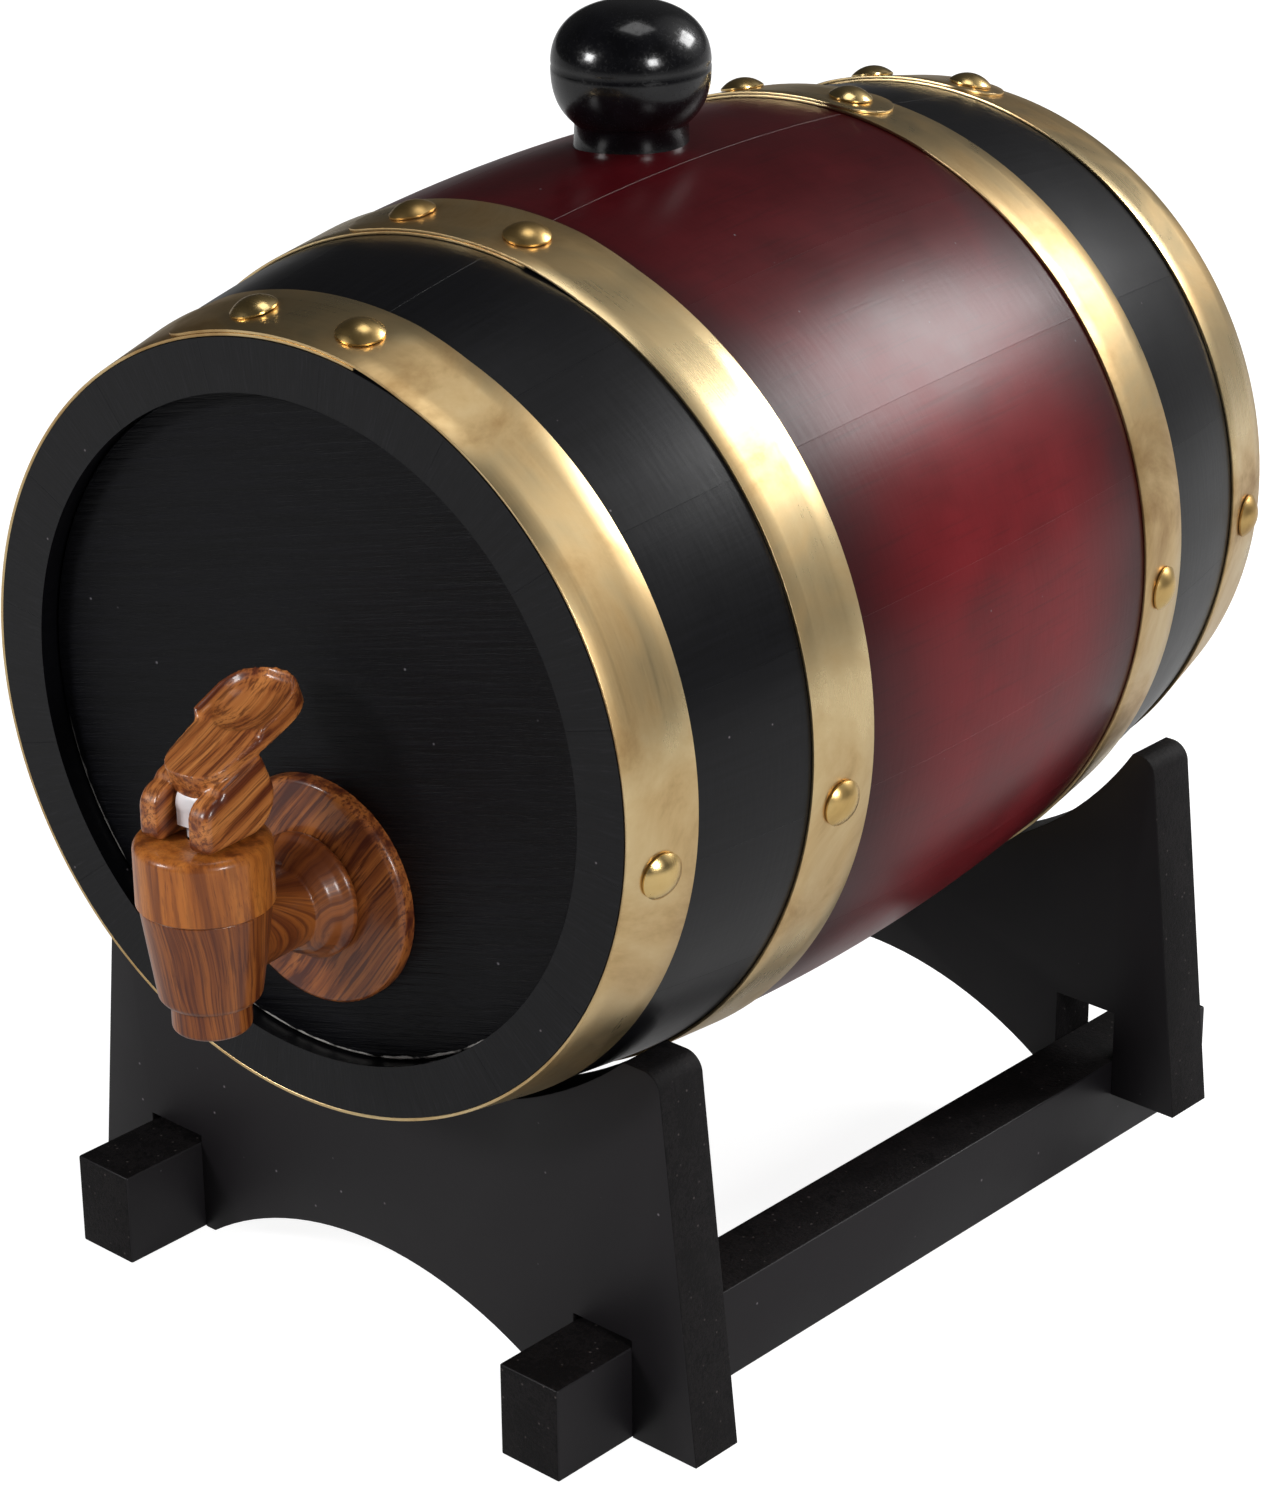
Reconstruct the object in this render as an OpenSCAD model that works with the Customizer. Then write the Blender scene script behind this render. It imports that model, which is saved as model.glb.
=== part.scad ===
// Oak cask liquor dispenser on a two-board stand, in millimetres.
//
// The cask lies along Y with its tap at -Y, X runs across it and Z is up. The origin is on the
// floor at the middle of the whole object. Sixteen staves, held by four brass hoops, close
// around two heads let into a groove (the croze). A knobbed bung closes the filling hole, and a
// plastic lever tap goes through the front head, where a nut holds it from inside. The cask
// rests in the cradles of two boards, joined by two rails that run through slots in their feet.

/* [Cask] */
// Length of the cask from rim to rim
cask_len = 220; // [205:1:250]
// Outside diameter of the cask at the middle
bilge_d = 173; // [168:1:180]
// Outside diameter of the cask at the rims
end_d = 150; // [146:1:156]
// Thickness of the staves
stave_t = 10; // [8.5:0.5:11]
// Number of staves
stave_count = 16; // [12:2:20]
// Height of the cask's axis above the floor
axis_h = 137.5; // [132:0.5:150]

/* [Heads] */
// Depth of the head's face behind the rim
head_inset = 5; // [4:0.5:12]
// Thickness of a head
head_t = 8; // [7:0.5:12]
// Thickness of the tongue around a head, which the croze takes
tongue_t = 4; // [3:0.5:5]
// Depth of the croze in the staves
croze_depth = 3; // [2:0.5:4]

/* [Hoops] */
// Width of a hoop
hoop_w = 16.5; // [12:0.5:20]
// Thickness of the hoop strip
hoop_t = 0.6; // [0.5:0.1:1]
// Distance from the rim to the near edge of a bilge hoop
bilge_hoop_at = 45.5; // [44.5:0.5:52]
// Diameter of a rivet's domed head
rivet_d = 9; // [6:0.5:10]
// Height of a rivet's domed head
rivet_h = 2.4; // [1.5:0.1:3]
// Diameter of a rivet's shank
shank_d = 3; // [2:0.1:4]
// Length of a rivet's shank under the head
shank_len = 5; // [4:0.5:6]
// Angle from the middle of the lap to each of its rivets
lap_rivet_turn = 9.2; // [7:0.2:10]
// Angle from the middle of the lap to each side rivet
side_rivet_turn = 97.5; // [88:0.5:98]
// Angle from the top to the middle of the front hoops' laps
front_lap_turn = -0.4; // [-6:0.2:6]
// Angle from the top to the middle of the rear hoops' laps
rear_lap_turn = -4.6; // [-6:0.2:6]

/* [Bung] */
// Distance of the bung to the left of the cask's axis
bung_aside = 6; // [0:0.5:7]
// Diameter of the bung's knob
knob_d = 31.2; // [26:0.1:40]
// Height of the knob above its widest line
knob_rise = 12.2; // [9:0.1:14]
// Depth of the knob below its widest line
knob_fall = 11.2; // [8:0.1:13]
// Diameter of the neck below the knob
neck_d = 22.4; // [18:0.2:24]
// Height of the neck between its seat and the knob's underside
neck_h = 5.5; // [2:0.1:7]
// Diameter of the stopper that fills the bung hole
stopper_d = 16; // [14:0.5:17]
// Length of the stopper below the neck
stopper_len = 15; // [12:0.5:24]
// Diameter of the spigot in the stopper
spigot_d = 8; // [5:0.5:10]

/* [Tap] */
// Height of the cask's axis above the tap's axis
tap_drop = 32; // [28:1:40]
// Distance from the rim plane to the axis of the tap's body
tap_reach = 26; // [24:0.5:34]
// Outside diameter of the bonnet
bonnet_d = 25.4; // [24:0.2:28]
// Outside diameter of the body at the parting line
body_d = 24.4; // [22:0.2:25]
// Outside diameter at the foot of the body's taper
bowl_d = 19.2; // [18:0.2:21]
// Outside diameter of the spout
spout_d = 14.8; // [13:0.2:16]
// Diameter of the outlet in the spout
outlet_d = 9.6; // [7:0.2:10]
// Height of the bonnet's top above the tap's axis
bonnet_top = 22; // [20:0.5:26]
// Height of the parting line above the tap's axis
parting_at = 9.3; // [7:0.1:12]
// Depth of the foot of the taper below the tap's axis
bowl_drop = 10; // [9:0.5:13]
// Depth of the spout's end below the tap's axis
spout_drop = 16; // [14:0.5:22]
// Diameter of the threaded tail that goes through the head
tail_d = 16; // [14:0.5:18]
// Diameter of the channel through the tail
channel_d = 8; // [5:0.5:9]
// Diameter of the collar against the escutcheon
collar_d = 25; // [20:0.5:28]
// Length of the collar in front of the escutcheon
collar_t = 7.5; // [6:0.5:9]
// Diameter of the escutcheon
escutcheon_d = 45; // [36:0.5:50]
// Thickness of the escutcheon
escutcheon_t = 3; // [2:0.5:4]
// Width of the nut across its flats
nut_w = 24; // [22:0.5:28]
// Thickness of the nut
nut_t = 7; // [5:0.5:10]
// Thickness of the washer under the nut
washer_t = 2; // [1:0.5:3]
// Wall of the body around its chamber, at the parting line
body_wall = 3.8; // [3:0.1:4]
// Wall of the bonnet around the body's neck
bonnet_wall = 2.5; // [1.5:0.1:3]
// Thickness of the bonnet's top
bonnet_plate = 3.5; // [2:0.1:5]
// Thickness of the seat around the outlet
seat_t = 3; // [2:0.1:4]
// Height of the seat cup
cup_h = 5; // [4:0.1:6]
// Room between the seat cup and the chamber's wall
cup_room = 1.2; // [0.8:0.1:2]
// Thickness of the seat cup's floor
cup_floor = 1.5; // [1:0.1:2]

/* [Lever] */
// Full turn of the lever from closed to open
lever_turn = 25; // [10:1:30]
// Radius of the heel that bears on the bonnet
heel_r = 6.5; // [6:0.1:7.5]
// Distance of the heel's centre behind the pin, which sets the lift
heel_offset = 4.5; // [3:0.1:5]
// Width over both cheeks
cheek_span = 16; // [14:0.5:17]
// Width of the gap between the cheeks
cheek_gap = 6; // [5.6:0.2:7]
// Diameter of the cross pin
pin_d = 2.5; // [2:0.1:3]
// Width of the paddle
paddle_w = 17; // [16:0.5:22]
// Length of the paddle from its front lip to its thumb end
paddle_len = 30; // [26:0.5:34]
// Slope of the paddle
paddle_slope = 20; // [12:1:24]
// Thickness of the paddle
paddle_t = 4; // [3:0.2:5]
// Diameter of the stem
stem_d = 4.6; // [4:0.1:5]
// Wall of the stem's eye around the cross pin
eye_wall = 2.35; // [1.5:0.05:2.4]

/* [Stand] */
// Turn of the stand under the cask, which lies loosely in its wide cradles
stand_turn = 5; // [0:0.5:6]
// Thickness of a board
board_t = 12; // [10:0.5:13.5]
// Distance from the front rim to the front board's outer face
front_set_back = 25.5; // [22:0.5:32]
// Distance from the rear rim to the rear board's outer face
rear_set_back = 29.5; // [22:0.5:34]
// Width of a board at its foot
foot_span = 168; // [160:1:180]
// Width of a board at the tops of its horns
horn_span = 150; // [144:1:160]
// Height of a board from its foot to the tops of its horns
horn_h = 80.5; // [74:0.5:84]
// Height of the rear board's foot above the floor, as it is held up on the rails
rear_lift = 12; // [0:1:14]
// Radius of the front board's cradle
front_cradle_r = 100; // [92:1:110]
// Radius of the rear board's cradle
rear_cradle_r = 83; // [82.5:0.5:88]
// Depth of the cradles' lowest points below the cask
cradle_play = 0.8; // [0.3:0.1:2]
// Width of the arch at the foot
arch_w = 100; // [90:1:104]
// Height of the arch
arch_h = 16; // [10:0.5:24]
// Radius of the rounded corners of a board
corner_r = 4; // [2:0.5:5]
// Width of a rail
rail_w = 15; // [10:0.5:15.5]
// Height of a rail
rail_h = 20; // [18:0.5:24]
// Distance between the rails
rail_gap = 105.5; // [105:0.5:110]
// Length of a rail in front of the front board
rail_front = 20.5; // [10:0.5:24]
// Length of a rail behind the rear board
rail_rear = 22.5; // [6:0.5:24]
// Height of the front board's slots above the rails
front_slot_gap = 1.5; // [0.5:0.5:12]
// Height of the rear board's slots above the rails
rear_slot_gap = 11.5; // [4:0.5:12]

/* [Fits] */
// Gap between pieces that move apart
rest_gap = 0.3; // [0.2:0.05:0.5]
// Clearance all round a piece in its hole
fit_gap = 0.1; // [0.05:0.05:0.2]

/* [Hidden] */

// The smallest step, which cutters reach past a face
eps = 0.05;

// Where things lie along Y: the whole object is centred on the origin
tap_front = tap_reach + bonnet_d / 2;
front_rim_y = (tap_front - cask_len) / 2;
mid_y = front_rim_y + cask_len / 2;

// The cask's outline is an arc about a centre far below the axis
bilge_r = bilge_d / 2;
end_r = end_d / 2;
rise = bilge_r - end_r;
arc_r = (pow(cask_len / 2, 2) + rise * rise) / (2 * rise);
stave_turn = 360 / stave_count;
// The bung stave is turned to lie under the bung
first_turn = -asin(bung_aside / bilge_r);

// The head's croze, from the cask's middle, and the gap between the head's face and the staves
head_gap = 0.4;
head_face = cask_len / 2 - head_inset;
croze_near = head_face - (head_t - tongue_t) / 2;
croze_far = croze_near - tongue_t;
head_mouth_r = inner_r(head_face);
tongue_r = inner_r(croze_near) + croze_depth;

// The hoops' near and far edges, from the cask's middle
chime_far = cask_len / 2 - hoop_w;
bilge_far = cask_len / 2 - bilge_hoop_at;
bilge_near = bilge_far - hoop_w;
lap_end = lap_rivet_turn + 5;
lap_start = lap_rivet_turn + 9;

// The bung's seat on the bung stave
seat_d = neck_d + 2;
seat_z = sqrt(pow(bilge_r, 2) - pow(bung_aside + seat_d / 2, 2)) - 0.2;
neck_z = seat_z + rest_gap;
knob_z = neck_z + neck_h + knob_fall;

// The tap, from its own axis at the head's face
stem_y = -(tap_reach + head_inset);
chamber_d = body_d - 2 * body_wall;
neck_in_bonnet_d = bonnet_d - 2 * bonnet_wall;
valve_seat = -(bowl_drop - seat_t);
cup_d = chamber_d - 2 * cup_room;
flange_t = 1.2;
pin_z = bonnet_top + rest_gap + heel_r;
eye_r = pin_d / 2 + eye_wall;
nose_at = 1.5;
nose_r = heel_r - 0.4;
lip_y = -paddle_t - 1;
lip_z = heel_r - 1.2;
collar_edge = collar_t / 3;
tail_past = 2;
tail_end = head_t + washer_t + nut_t + tail_past;

// The stand, its boards tied to the rims
front_board_at = cask_len / 2 - front_set_back;
rear_board_at = cask_len / 2 - rear_set_back;
rail_x = rail_gap / 2;
arch_r = (pow(arch_w / 2, 2) + arch_h * arch_h) / (2 * arch_h);
rail_len = front_board_at + rear_board_at + rail_front + rail_rear;
sweep = 180;
fine = 96;

// Radius of the cask's outer face at a distance m from its middle
function outer_r(m) = bilge_r - arc_r + sqrt(arc_r * arc_r - m * m);
// Radius of the staves' inner face at a distance m from the middle
function inner_r(m) = bilge_r - arc_r + sqrt(pow(arc_r - stave_t, 2) - m * m);
// How far a straight line between two distances from the middle falls short of the arc
function sag(near, far) = pow(far - near, 2) / (8 * arc_r);
// A stave's name, counted round from the bung stave
function stave_name(i) = str("stave_", i < 10 ? "0" : "", i);
// The turn from b to a, between -180 and 180
function turn_between(a, b) = (a - b + 540) % 360 - 180;

// Moves children from the cask's middle to their place
module on_cask() translate([0, mid_y, axis_h]) children();

// Moves children from the tap's axis at the head's face to their place
module on_tap() translate([0, front_rim_y + head_inset, axis_h - tap_drop]) children();

// Sweeps a radius-against-length outline about the cask's axis between two turns from the top
module swept(from, to)
    rotate([-90, 0, 0]) rotate([0, 0, from - 90]) rotate_extrude(angle = to - from, $fn = sweep)
        children();

// The outline between two depths outside the cask's face and two distances from its middle
module shell_outline(inside, outside, near, far)
    intersection() {
        translate([0, near]) square([bilge_d, far - near]);
        difference() {
            translate([bilge_r - arc_r, 0]) circle(r = arc_r + outside, $fn = 1440);
            translate([bilge_r - arc_r, 0]) circle(r = arc_r + inside, $fn = 1440);
        }
    }

// A straight-sided strip outside the cask's face between two distances from its middle
module band_outline(inside, outside, near, far) {
    clear = sag(near, far);
    polygon([[outer_r(near) + clear + inside, near], [outer_r(far) + clear + inside, far],
             [outer_r(far) + clear + outside, far], [outer_r(near) + clear + outside, near]]);
}

// Stands children on the cask's face, at a turn from the top and a distance from the middle
module on_face(turn, m, out)
    rotate([0, turn, 0]) translate([0, 0, bilge_r - arc_r]) rotate([-asin(m / arc_r), 0, 0])
        translate([0, 0, arc_r + out]) children();

// ---- Cask ----

// The turns of all rivets on a hoop, from the middle of its lap
rivet_turns = [-lap_rivet_turn, lap_rivet_turn, -side_rivet_turn, side_rivet_turn];
// Each hoop's middle, from the cask's middle, and the turn of its lap
hoop_places = [[-(cask_len / 2 - hoop_w / 2), front_lap_turn],
               [-(bilge_near + hoop_w / 2), front_lap_turn],
               [bilge_near + hoop_w / 2, rear_lap_turn],
               [cask_len / 2 - hoop_w / 2, rear_lap_turn]];

// The holes that the rivets' shanks fill
module rivet_holes(m, turn)
    on_face(turn, m, 0) translate([0, 0, -shank_len])
        cylinder(d = shank_d, h = shank_len + rivet_h, $fn = 32);

module stave(i) {
    turn = first_turn + (i - 1) * stave_turn;
    difference() {
        swept(turn - stave_turn / 2, turn + stave_turn / 2)
            difference() {
                shell_outline(-stave_t, 0, -cask_len / 2, cask_len / 2);
                for (side = [-1, 1])
                    translate([0, side * (croze_near + croze_far) / 2 - tongue_t / 2])
                        square([tongue_r, tongue_t]);
            }
        for (place = hoop_places)
            for (a = rivet_turns)
                if (abs(turn_between(place[1] + a, turn)) < stave_turn / 2 + shank_d)
                    rivet_holes(place[0], place[1] + a);
    }
}

module plain_stave(i) color("#5c1a20") on_cask() stave(i);

// The stave with the filling hole, and a flat around it for the bung's neck
module bung_stave() color("#5c1a20") on_cask()
    difference() {
        stave(1);
        translate([-bung_aside, 0, 0])
            cylinder(d = stopper_d + 2 * fit_gap, h = bilge_d, $fn = fine);
        translate([-bung_aside, 0, seat_z]) cylinder(d = seat_d, h = stave_t, $fn = fine);
    }

// A head facing -Y, with its tongue in the croze
module head_solid()
    rotate([-90, 0, 0]) rotate_extrude($fn = sweep)
        polygon([[0, 0], [head_mouth_r - head_gap, 0],
                 [head_mouth_r - head_gap, (head_t - tongue_t) / 2],
                 [tongue_r, (head_t - tongue_t) / 2], [tongue_r, (head_t + tongue_t) / 2],
                 [head_mouth_r - 1, (head_t + tongue_t) / 2], [head_mouth_r - 4, head_t],
                 [0, head_t]]);

module front_head() color("#18171a")
    difference() {
        translate([0, front_rim_y + head_inset, axis_h]) head_solid();
        on_tap() rotate([-90, 0, 0]) translate([0, 0, -eps])
            cylinder(d = tail_d + 2 * fit_gap, h = head_t + 2 * eps, $fn = fine);
    }

module rear_head() color("#18171a")
    translate([0, front_rim_y + cask_len - head_inset, axis_h]) mirror([0, 1, 0]) head_solid();

// ---- Hoops ----

// One strip around the cask from near to far, its ends lapped at the top with the outer end
// on the right
module hoop(near, far)
    difference() {
        union() {
            swept(-180, 180) band_outline(0, hoop_t, near, far);
            swept(-lap_end, lap_start) band_outline(hoop_t / 2, 2 * hoop_t, near, far);
        }
        for (a = rivet_turns) rivet_holes((near + far) / 2, a);
    }

module front_chime_hoop() color("#c9a75f")
    on_cask() rotate([0, front_lap_turn, 0]) mirror([1, 0, 0]) hoop(-cask_len / 2, -chime_far);
module front_bilge_hoop() color("#c9a75f")
    on_cask() rotate([0, front_lap_turn, 0]) mirror([1, 0, 0]) hoop(-bilge_far, -bilge_near);
module rear_bilge_hoop() color("#c9a75f")
    on_cask() rotate([0, rear_lap_turn, 0]) hoop(bilge_near, bilge_far);
module rear_chime_hoop() color("#c9a75f")
    on_cask() rotate([0, rear_lap_turn, 0]) hoop(chime_far, cask_len / 2);

// A domed rivet with its head's underside at z = 0
module rivet() {
    ball_r = (rivet_d * rivet_d / 4 + rivet_h * rivet_h) / (2 * rivet_h);
    intersection() {
        translate([0, 0, rivet_h - ball_r]) sphere(r = ball_r, $fn = fine);
        cylinder(d = rivet_d, h = rivet_h + eps, $fn = fine);
    }
    translate([0, 0, -shank_len]) cylinder(d = shank_d, h = shank_len + eps, $fn = 32);
}

// The four rivets of one hoop: two through the lap and one at each side
module hoop_rivets(place)
    for (a = rivet_turns)
        on_face(place[1] + a, place[0],
                sag(0, hoop_w) + (abs(a) == lap_rivet_turn ? 2 * hoop_t : hoop_t)) rivet();

module front_chime_rivets() color("#d8b66c") on_cask() hoop_rivets(hoop_places[0]);
module front_bilge_rivets() color("#d8b66c") on_cask() hoop_rivets(hoop_places[1]);
module rear_bilge_rivets() color("#d8b66c") on_cask() hoop_rivets(hoop_places[2]);
module rear_chime_rivets() color("#d8b66c") on_cask() hoop_rivets(hoop_places[3]);

// ---- Bung ----

// The knob's radius at a height over its widest line, and at a depth under it
function crown_r(z) = knob_d / 2 * pow(max(0, 1 - pow(z / knob_rise, 2.3)), 1 / 2.3);
function under_r(z) = knob_d / 2 * pow(1 - pow(0.8 * z / knob_fall, 2.5), 1 / 2.5);

// The knob's outline about its widest line
module knob_outline()
    polygon(concat([[0, -knob_fall]],
                   [for (i = [10 : -1 : 1]) [under_r(knob_fall * i / 10), -knob_fall * i / 10]],
                   [for (a = [0 : 6 : 84]) [crown_r(knob_rise * sin(a)), knob_rise * sin(a)]],
                   [[0, knob_rise]]));

// A turned knob on a short neck, with a spigot for the stopper
module bung_knob() color("#141318") on_cask() translate([-bung_aside, 0, 0]) {
    translate([0, 0, knob_z]) rotate_extrude($fn = fine) knob_outline();
    translate([0, 0, neck_z]) cylinder(d = neck_d, h = neck_h + knob_fall / 2, $fn = fine);
    translate([0, 0, neck_z - stopper_len + 2])
        cylinder(d = spigot_d, h = stopper_len, $fn = fine);
}

// A sleeve of cork around the spigot
module bung_stopper() color("#b98a58") on_cask()
    translate([-bung_aside, 0, neck_z - stopper_len])
        difference() {
            cylinder(d = stopper_d, h = stopper_len, $fn = fine);
            translate([0, 0, 2]) cylinder(d = spigot_d, h = stopper_len, $fn = fine);
        }

// ---- Tap ----

// Bowl, spout and threaded tail in one moulding, hollow all the way through
module tap_body() color("#9a5a28") on_tap()
    difference() {
        union() {
            translate([0, stem_y, 0]) {
                translate([0, 0, -spout_drop])
                    cylinder(d = spout_d, h = spout_drop - bowl_drop + eps, $fn = fine);
                translate([0, 0, -bowl_drop])
                    cylinder(d1 = bowl_d, d2 = body_d, h = bowl_drop + parting_at, $fn = fine);
                cylinder(d = neck_in_bonnet_d, h = bonnet_top - bonnet_plate, $fn = fine);
            }
            rotate([-90, 0, 0]) translate([0, 0, stem_y])
                cylinder(d = tail_d, h = tail_end - stem_y, $fn = fine);
            rotate([-90, 0, 0]) translate([0, 0, -escutcheon_t - collar_t])
                cylinder(d1 = tail_d, d2 = collar_d, h = collar_t - collar_edge, $fn = fine);
            rotate([-90, 0, 0]) translate([0, 0, -escutcheon_t - collar_edge])
                cylinder(d = collar_d, h = collar_edge, $fn = fine);
        }
        translate([0, stem_y, valve_seat])
            cylinder(d = chamber_d, h = bonnet_top - valve_seat, $fn = fine);
        translate([0, stem_y, -spout_drop - eps])
            cylinder(d = outlet_d, h = spout_drop, $fn = fine);
        rotate([-90, 0, 0]) translate([0, 0, stem_y])
            cylinder(d = channel_d, h = tail_end - stem_y + eps, $fn = fine);
    }

// A cap over the body's neck, with a bore for the stem
module tap_bonnet() color("#b06a30") on_tap() translate([0, stem_y, 0])
    difference() {
        translate([0, 0, parting_at])
            cylinder(d = bonnet_d, h = bonnet_top - parting_at, $fn = fine);
        translate([0, 0, parting_at - eps])
            cylinder(d = neck_in_bonnet_d, h = bonnet_top - bonnet_plate - parting_at + eps,
                     $fn = fine);
        cylinder(d = stem_d + 2 * rest_gap, h = bonnet_top + eps, $fn = fine);
    }

// The round plate between the collar and the head
module escutcheon() color("#9a5a28") on_tap()
    rotate([-90, 0, 0]) translate([0, 0, -escutcheon_t])
        difference() {
            cylinder(d1 = escutcheon_d - escutcheon_t, d2 = escutcheon_d, h = escutcheon_t,
                     $fn = fine);
            translate([0, 0, -eps])
                cylinder(d = tail_d + 2 * fit_gap, h = escutcheon_t + 2 * eps, $fn = fine);
        }

// The soft washer between the nut and the head's inner face
module tail_washer() color("#e8e4dc") on_tap()
    rotate([-90, 0, 0]) translate([0, 0, head_t])
        difference() {
            cylinder(d = nut_w, h = washer_t, $fn = fine);
            translate([0, 0, -eps])
                cylinder(d = tail_d + 2 * fit_gap, h = washer_t + 2 * eps, $fn = fine);
        }

// The six-sided nut on the tail
module tail_nut() color("#9a5a28") on_tap()
    rotate([-90, 0, 0]) translate([0, 0, head_t + washer_t])
        difference() {
            cylinder(d = nut_w / cos(30), h = nut_t, $fn = 6);
            translate([0, 0, -eps]) cylinder(d = tail_d, h = nut_t + 2 * eps, $fn = fine);
        }

// The lifting stem: an eye for the pin, a stop flange above the bonnet and a foot in the cup
module tap_stem() color("#f0ecf0") on_tap() translate([0, stem_y, 0])
    difference() {
        union() {
            translate([0, 0, valve_seat + rest_gap + cup_floor])
                cylinder(d = stem_d, h = pin_z - valve_seat - cup_floor - rest_gap, $fn = fine);
            translate([0, 0, bonnet_top + rest_gap])
                cylinder(d = cheek_gap - 2 * rest_gap, h = flange_t, $fn = fine);
            intersection() {
                translate([0, 0, pin_z]) rotate([0, 90, 0])
                    cylinder(r = eye_r, h = cheek_gap, center = true, $fn = fine);
                translate([0, 0, pin_z])
                    cube([cheek_gap - 2 * rest_gap, 2 * eye_r, 2 * eye_r], center = true);
            }
        }
        translate([0, 0, pin_z]) rotate([0, 90, 0])
            cylinder(d = pin_d + 2 * fit_gap, h = cheek_gap, center = true, $fn = 48);
    }

// The soft cup that closes the outlet
module seat_cup() color("#e8e4dc") on_tap() translate([0, stem_y, valve_seat + rest_gap])
    difference() {
        cylinder(d = cup_d, h = cup_h, $fn = fine);
        translate([0, 0, cup_floor]) cylinder(d = stem_d, h = cup_h, $fn = fine);
    }

// Height of the paddle's underside above the pin, at a distance y behind it
function paddle_under(y) = lip_z + (y - lip_y) * tan(paddle_slope);

// One side of the lever as a flat outline about the pin: heel, nose and a web to the paddle
module cheek_outline() {
    web_front = -nose_at - nose_r + 1;
    web_back = heel_offset + heel_r - 2;
    translate([heel_offset, 0]) circle(r = heel_r, $fn = fine);
    translate([-nose_at, 0]) circle(r = nose_r, $fn = fine);
    translate([-nose_at, -nose_r]) square([heel_offset + nose_at, 2 * nose_r]);
    polygon([[web_front, 0], [web_back, 0], [web_back, paddle_under(web_back) + 1],
             [lip_y + paddle_t, paddle_under(lip_y + paddle_t) + 1]]);
}

// The paddle as a flat outline about the pin, sloping up towards the cask
module paddle_outline()
    translate([lip_y, lip_z]) rotate(paddle_slope) {
        translate([paddle_t / 2, 0]) square([paddle_len - paddle_t, paddle_t]);
        translate([paddle_t / 2, paddle_t / 2]) circle(d = paddle_t, $fn = 48);
        translate([paddle_len - paddle_t / 2, paddle_t / 2]) circle(d = paddle_t, $fn = 48);
    }

// Two cheeks that straddle the stem, joined by the paddle above it
module tap_lever() color("#a8642e") on_tap() translate([0, stem_y, pin_z])
    difference() {
        union() {
            translate([-paddle_w / 2, 0, 0]) side_extrude(paddle_w) paddle_outline();
            translate([-cheek_span / 2, 0, 0]) side_extrude(cheek_span) cheek_outline();
        }
        translate([-cheek_gap / 2, 0, 0]) side_extrude(cheek_gap) {
            square([4 * heel_r, 2 * (eye_r + rest_gap)], center = true);
            translate([-2 * heel_r, -heel_r - 1]) square([4 * heel_r, heel_r + 1]);
        }
        rotate([0, 90, 0]) cylinder(d = pin_d, h = 2 * paddle_w, center = true, $fn = 48);
    }

// Extrudes a (y, z) outline along +X
module side_extrude(width) rotate([90, 0, 90]) linear_extrude(width) children();

// The pin through both cheeks and the stem's eye
module lever_pin() color("#c8c8cc") on_tap() translate([0, stem_y, pin_z])
    rotate([0, 90, 0]) cylinder(d = pin_d, h = cheek_span, center = true, $fn = 48);

// ---- Stand ----

// Moves children from the stand's middle to their place under the cask
module on_stand() translate([0, mid_y, 0]) rotate([0, 0, -stand_turn]) children();

// The room that the cask needs, a resting gap wider than itself
module cask_room() on_cask()
    swept(0, 360) intersection() {
        translate([0, -cask_len / 2]) square([bilge_d, cask_len]);
        translate([bilge_r - arc_r, 0]) circle(r = arc_r + rest_gap, $fn = 1440);
    }

// A board in the XZ plane with its front face at y = from: sloping sides with round corners at
// the top, a cradle, an arch and two slots open at the foot
module board(from, lift, cradle_r, slot_gap) {
    lean = (foot_span - horn_span) / 2 / horn_h;
    shoulder = foot_span / 2 - lean * (horn_h - corner_r);
    nearest = min(abs(from), abs(from + board_t));
    cradle_bottom = axis_h - outer_r(nearest) - cradle_play - lift;
    translate([0, from + board_t, lift]) rotate([90, 0, 0]) linear_extrude(board_t)
        difference() {
            union() {
                polygon([[-foot_span / 2, 0], [foot_span / 2, 0], [shoulder, horn_h - corner_r],
                         [shoulder - corner_r, horn_h], [corner_r - shoulder, horn_h],
                         [-shoulder, horn_h - corner_r]]);
                for (side = [-1, 1])
                    translate([side * (shoulder - corner_r), horn_h - corner_r])
                        circle(r = corner_r, $fn = 64);
            }
            translate([0, cradle_bottom + cradle_r]) circle(r = cradle_r, $fn = 360);
            translate([0, arch_h - arch_r]) circle(r = arch_r, $fn = 360);
            for (side = [-1, 1])
                translate([side * (rail_x + rail_w / 2) - rail_w / 2, -eps])
                    square([rail_w, rail_h + slot_gap - lift + eps]);
        }
}

module front_board() color("#2f2a2f")
    difference() {
        on_stand() board(-front_board_at, 0, front_cradle_r, front_slot_gap);
        cask_room();
    }

module rear_board() color("#2f2a2f")
    difference() {
        on_stand() board(rear_board_at - board_t, rear_lift, rear_cradle_r, rear_slot_gap);
        cask_room();
    }

// A rail through the slots of both boards
module rail(x) on_stand()
    translate([x, -front_board_at - rail_front, 0]) cube([rail_w, rail_len, rail_h]);

module left_rail() color("#2b262b") rail(-rail_x - rail_w);
module right_rail() color("#2b262b") rail(rail_x);

front_board();
rear_board();
left_rail();
right_rail();
front_head();
rear_head();
front_chime_hoop();
front_bilge_hoop();
rear_bilge_hoop();
rear_chime_hoop();
front_chime_rivets();
front_bilge_rivets();
rear_bilge_rivets();
rear_chime_rivets();
bung_knob();
bung_stopper();
tap_body();
tap_bonnet();
escutcheon();
tail_washer();
tail_nut();
tap_stem();
seat_cup();
tap_lever();
lever_pin();
bung_stave();
for (i = [2 : stave_count])
    plain_stave(i);
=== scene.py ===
# A small coopered cask with brass hoops and a lever tap, lying on a black two-board stand.
import math

import bpy
from mathutils import Euler, Matrix, Vector


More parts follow.
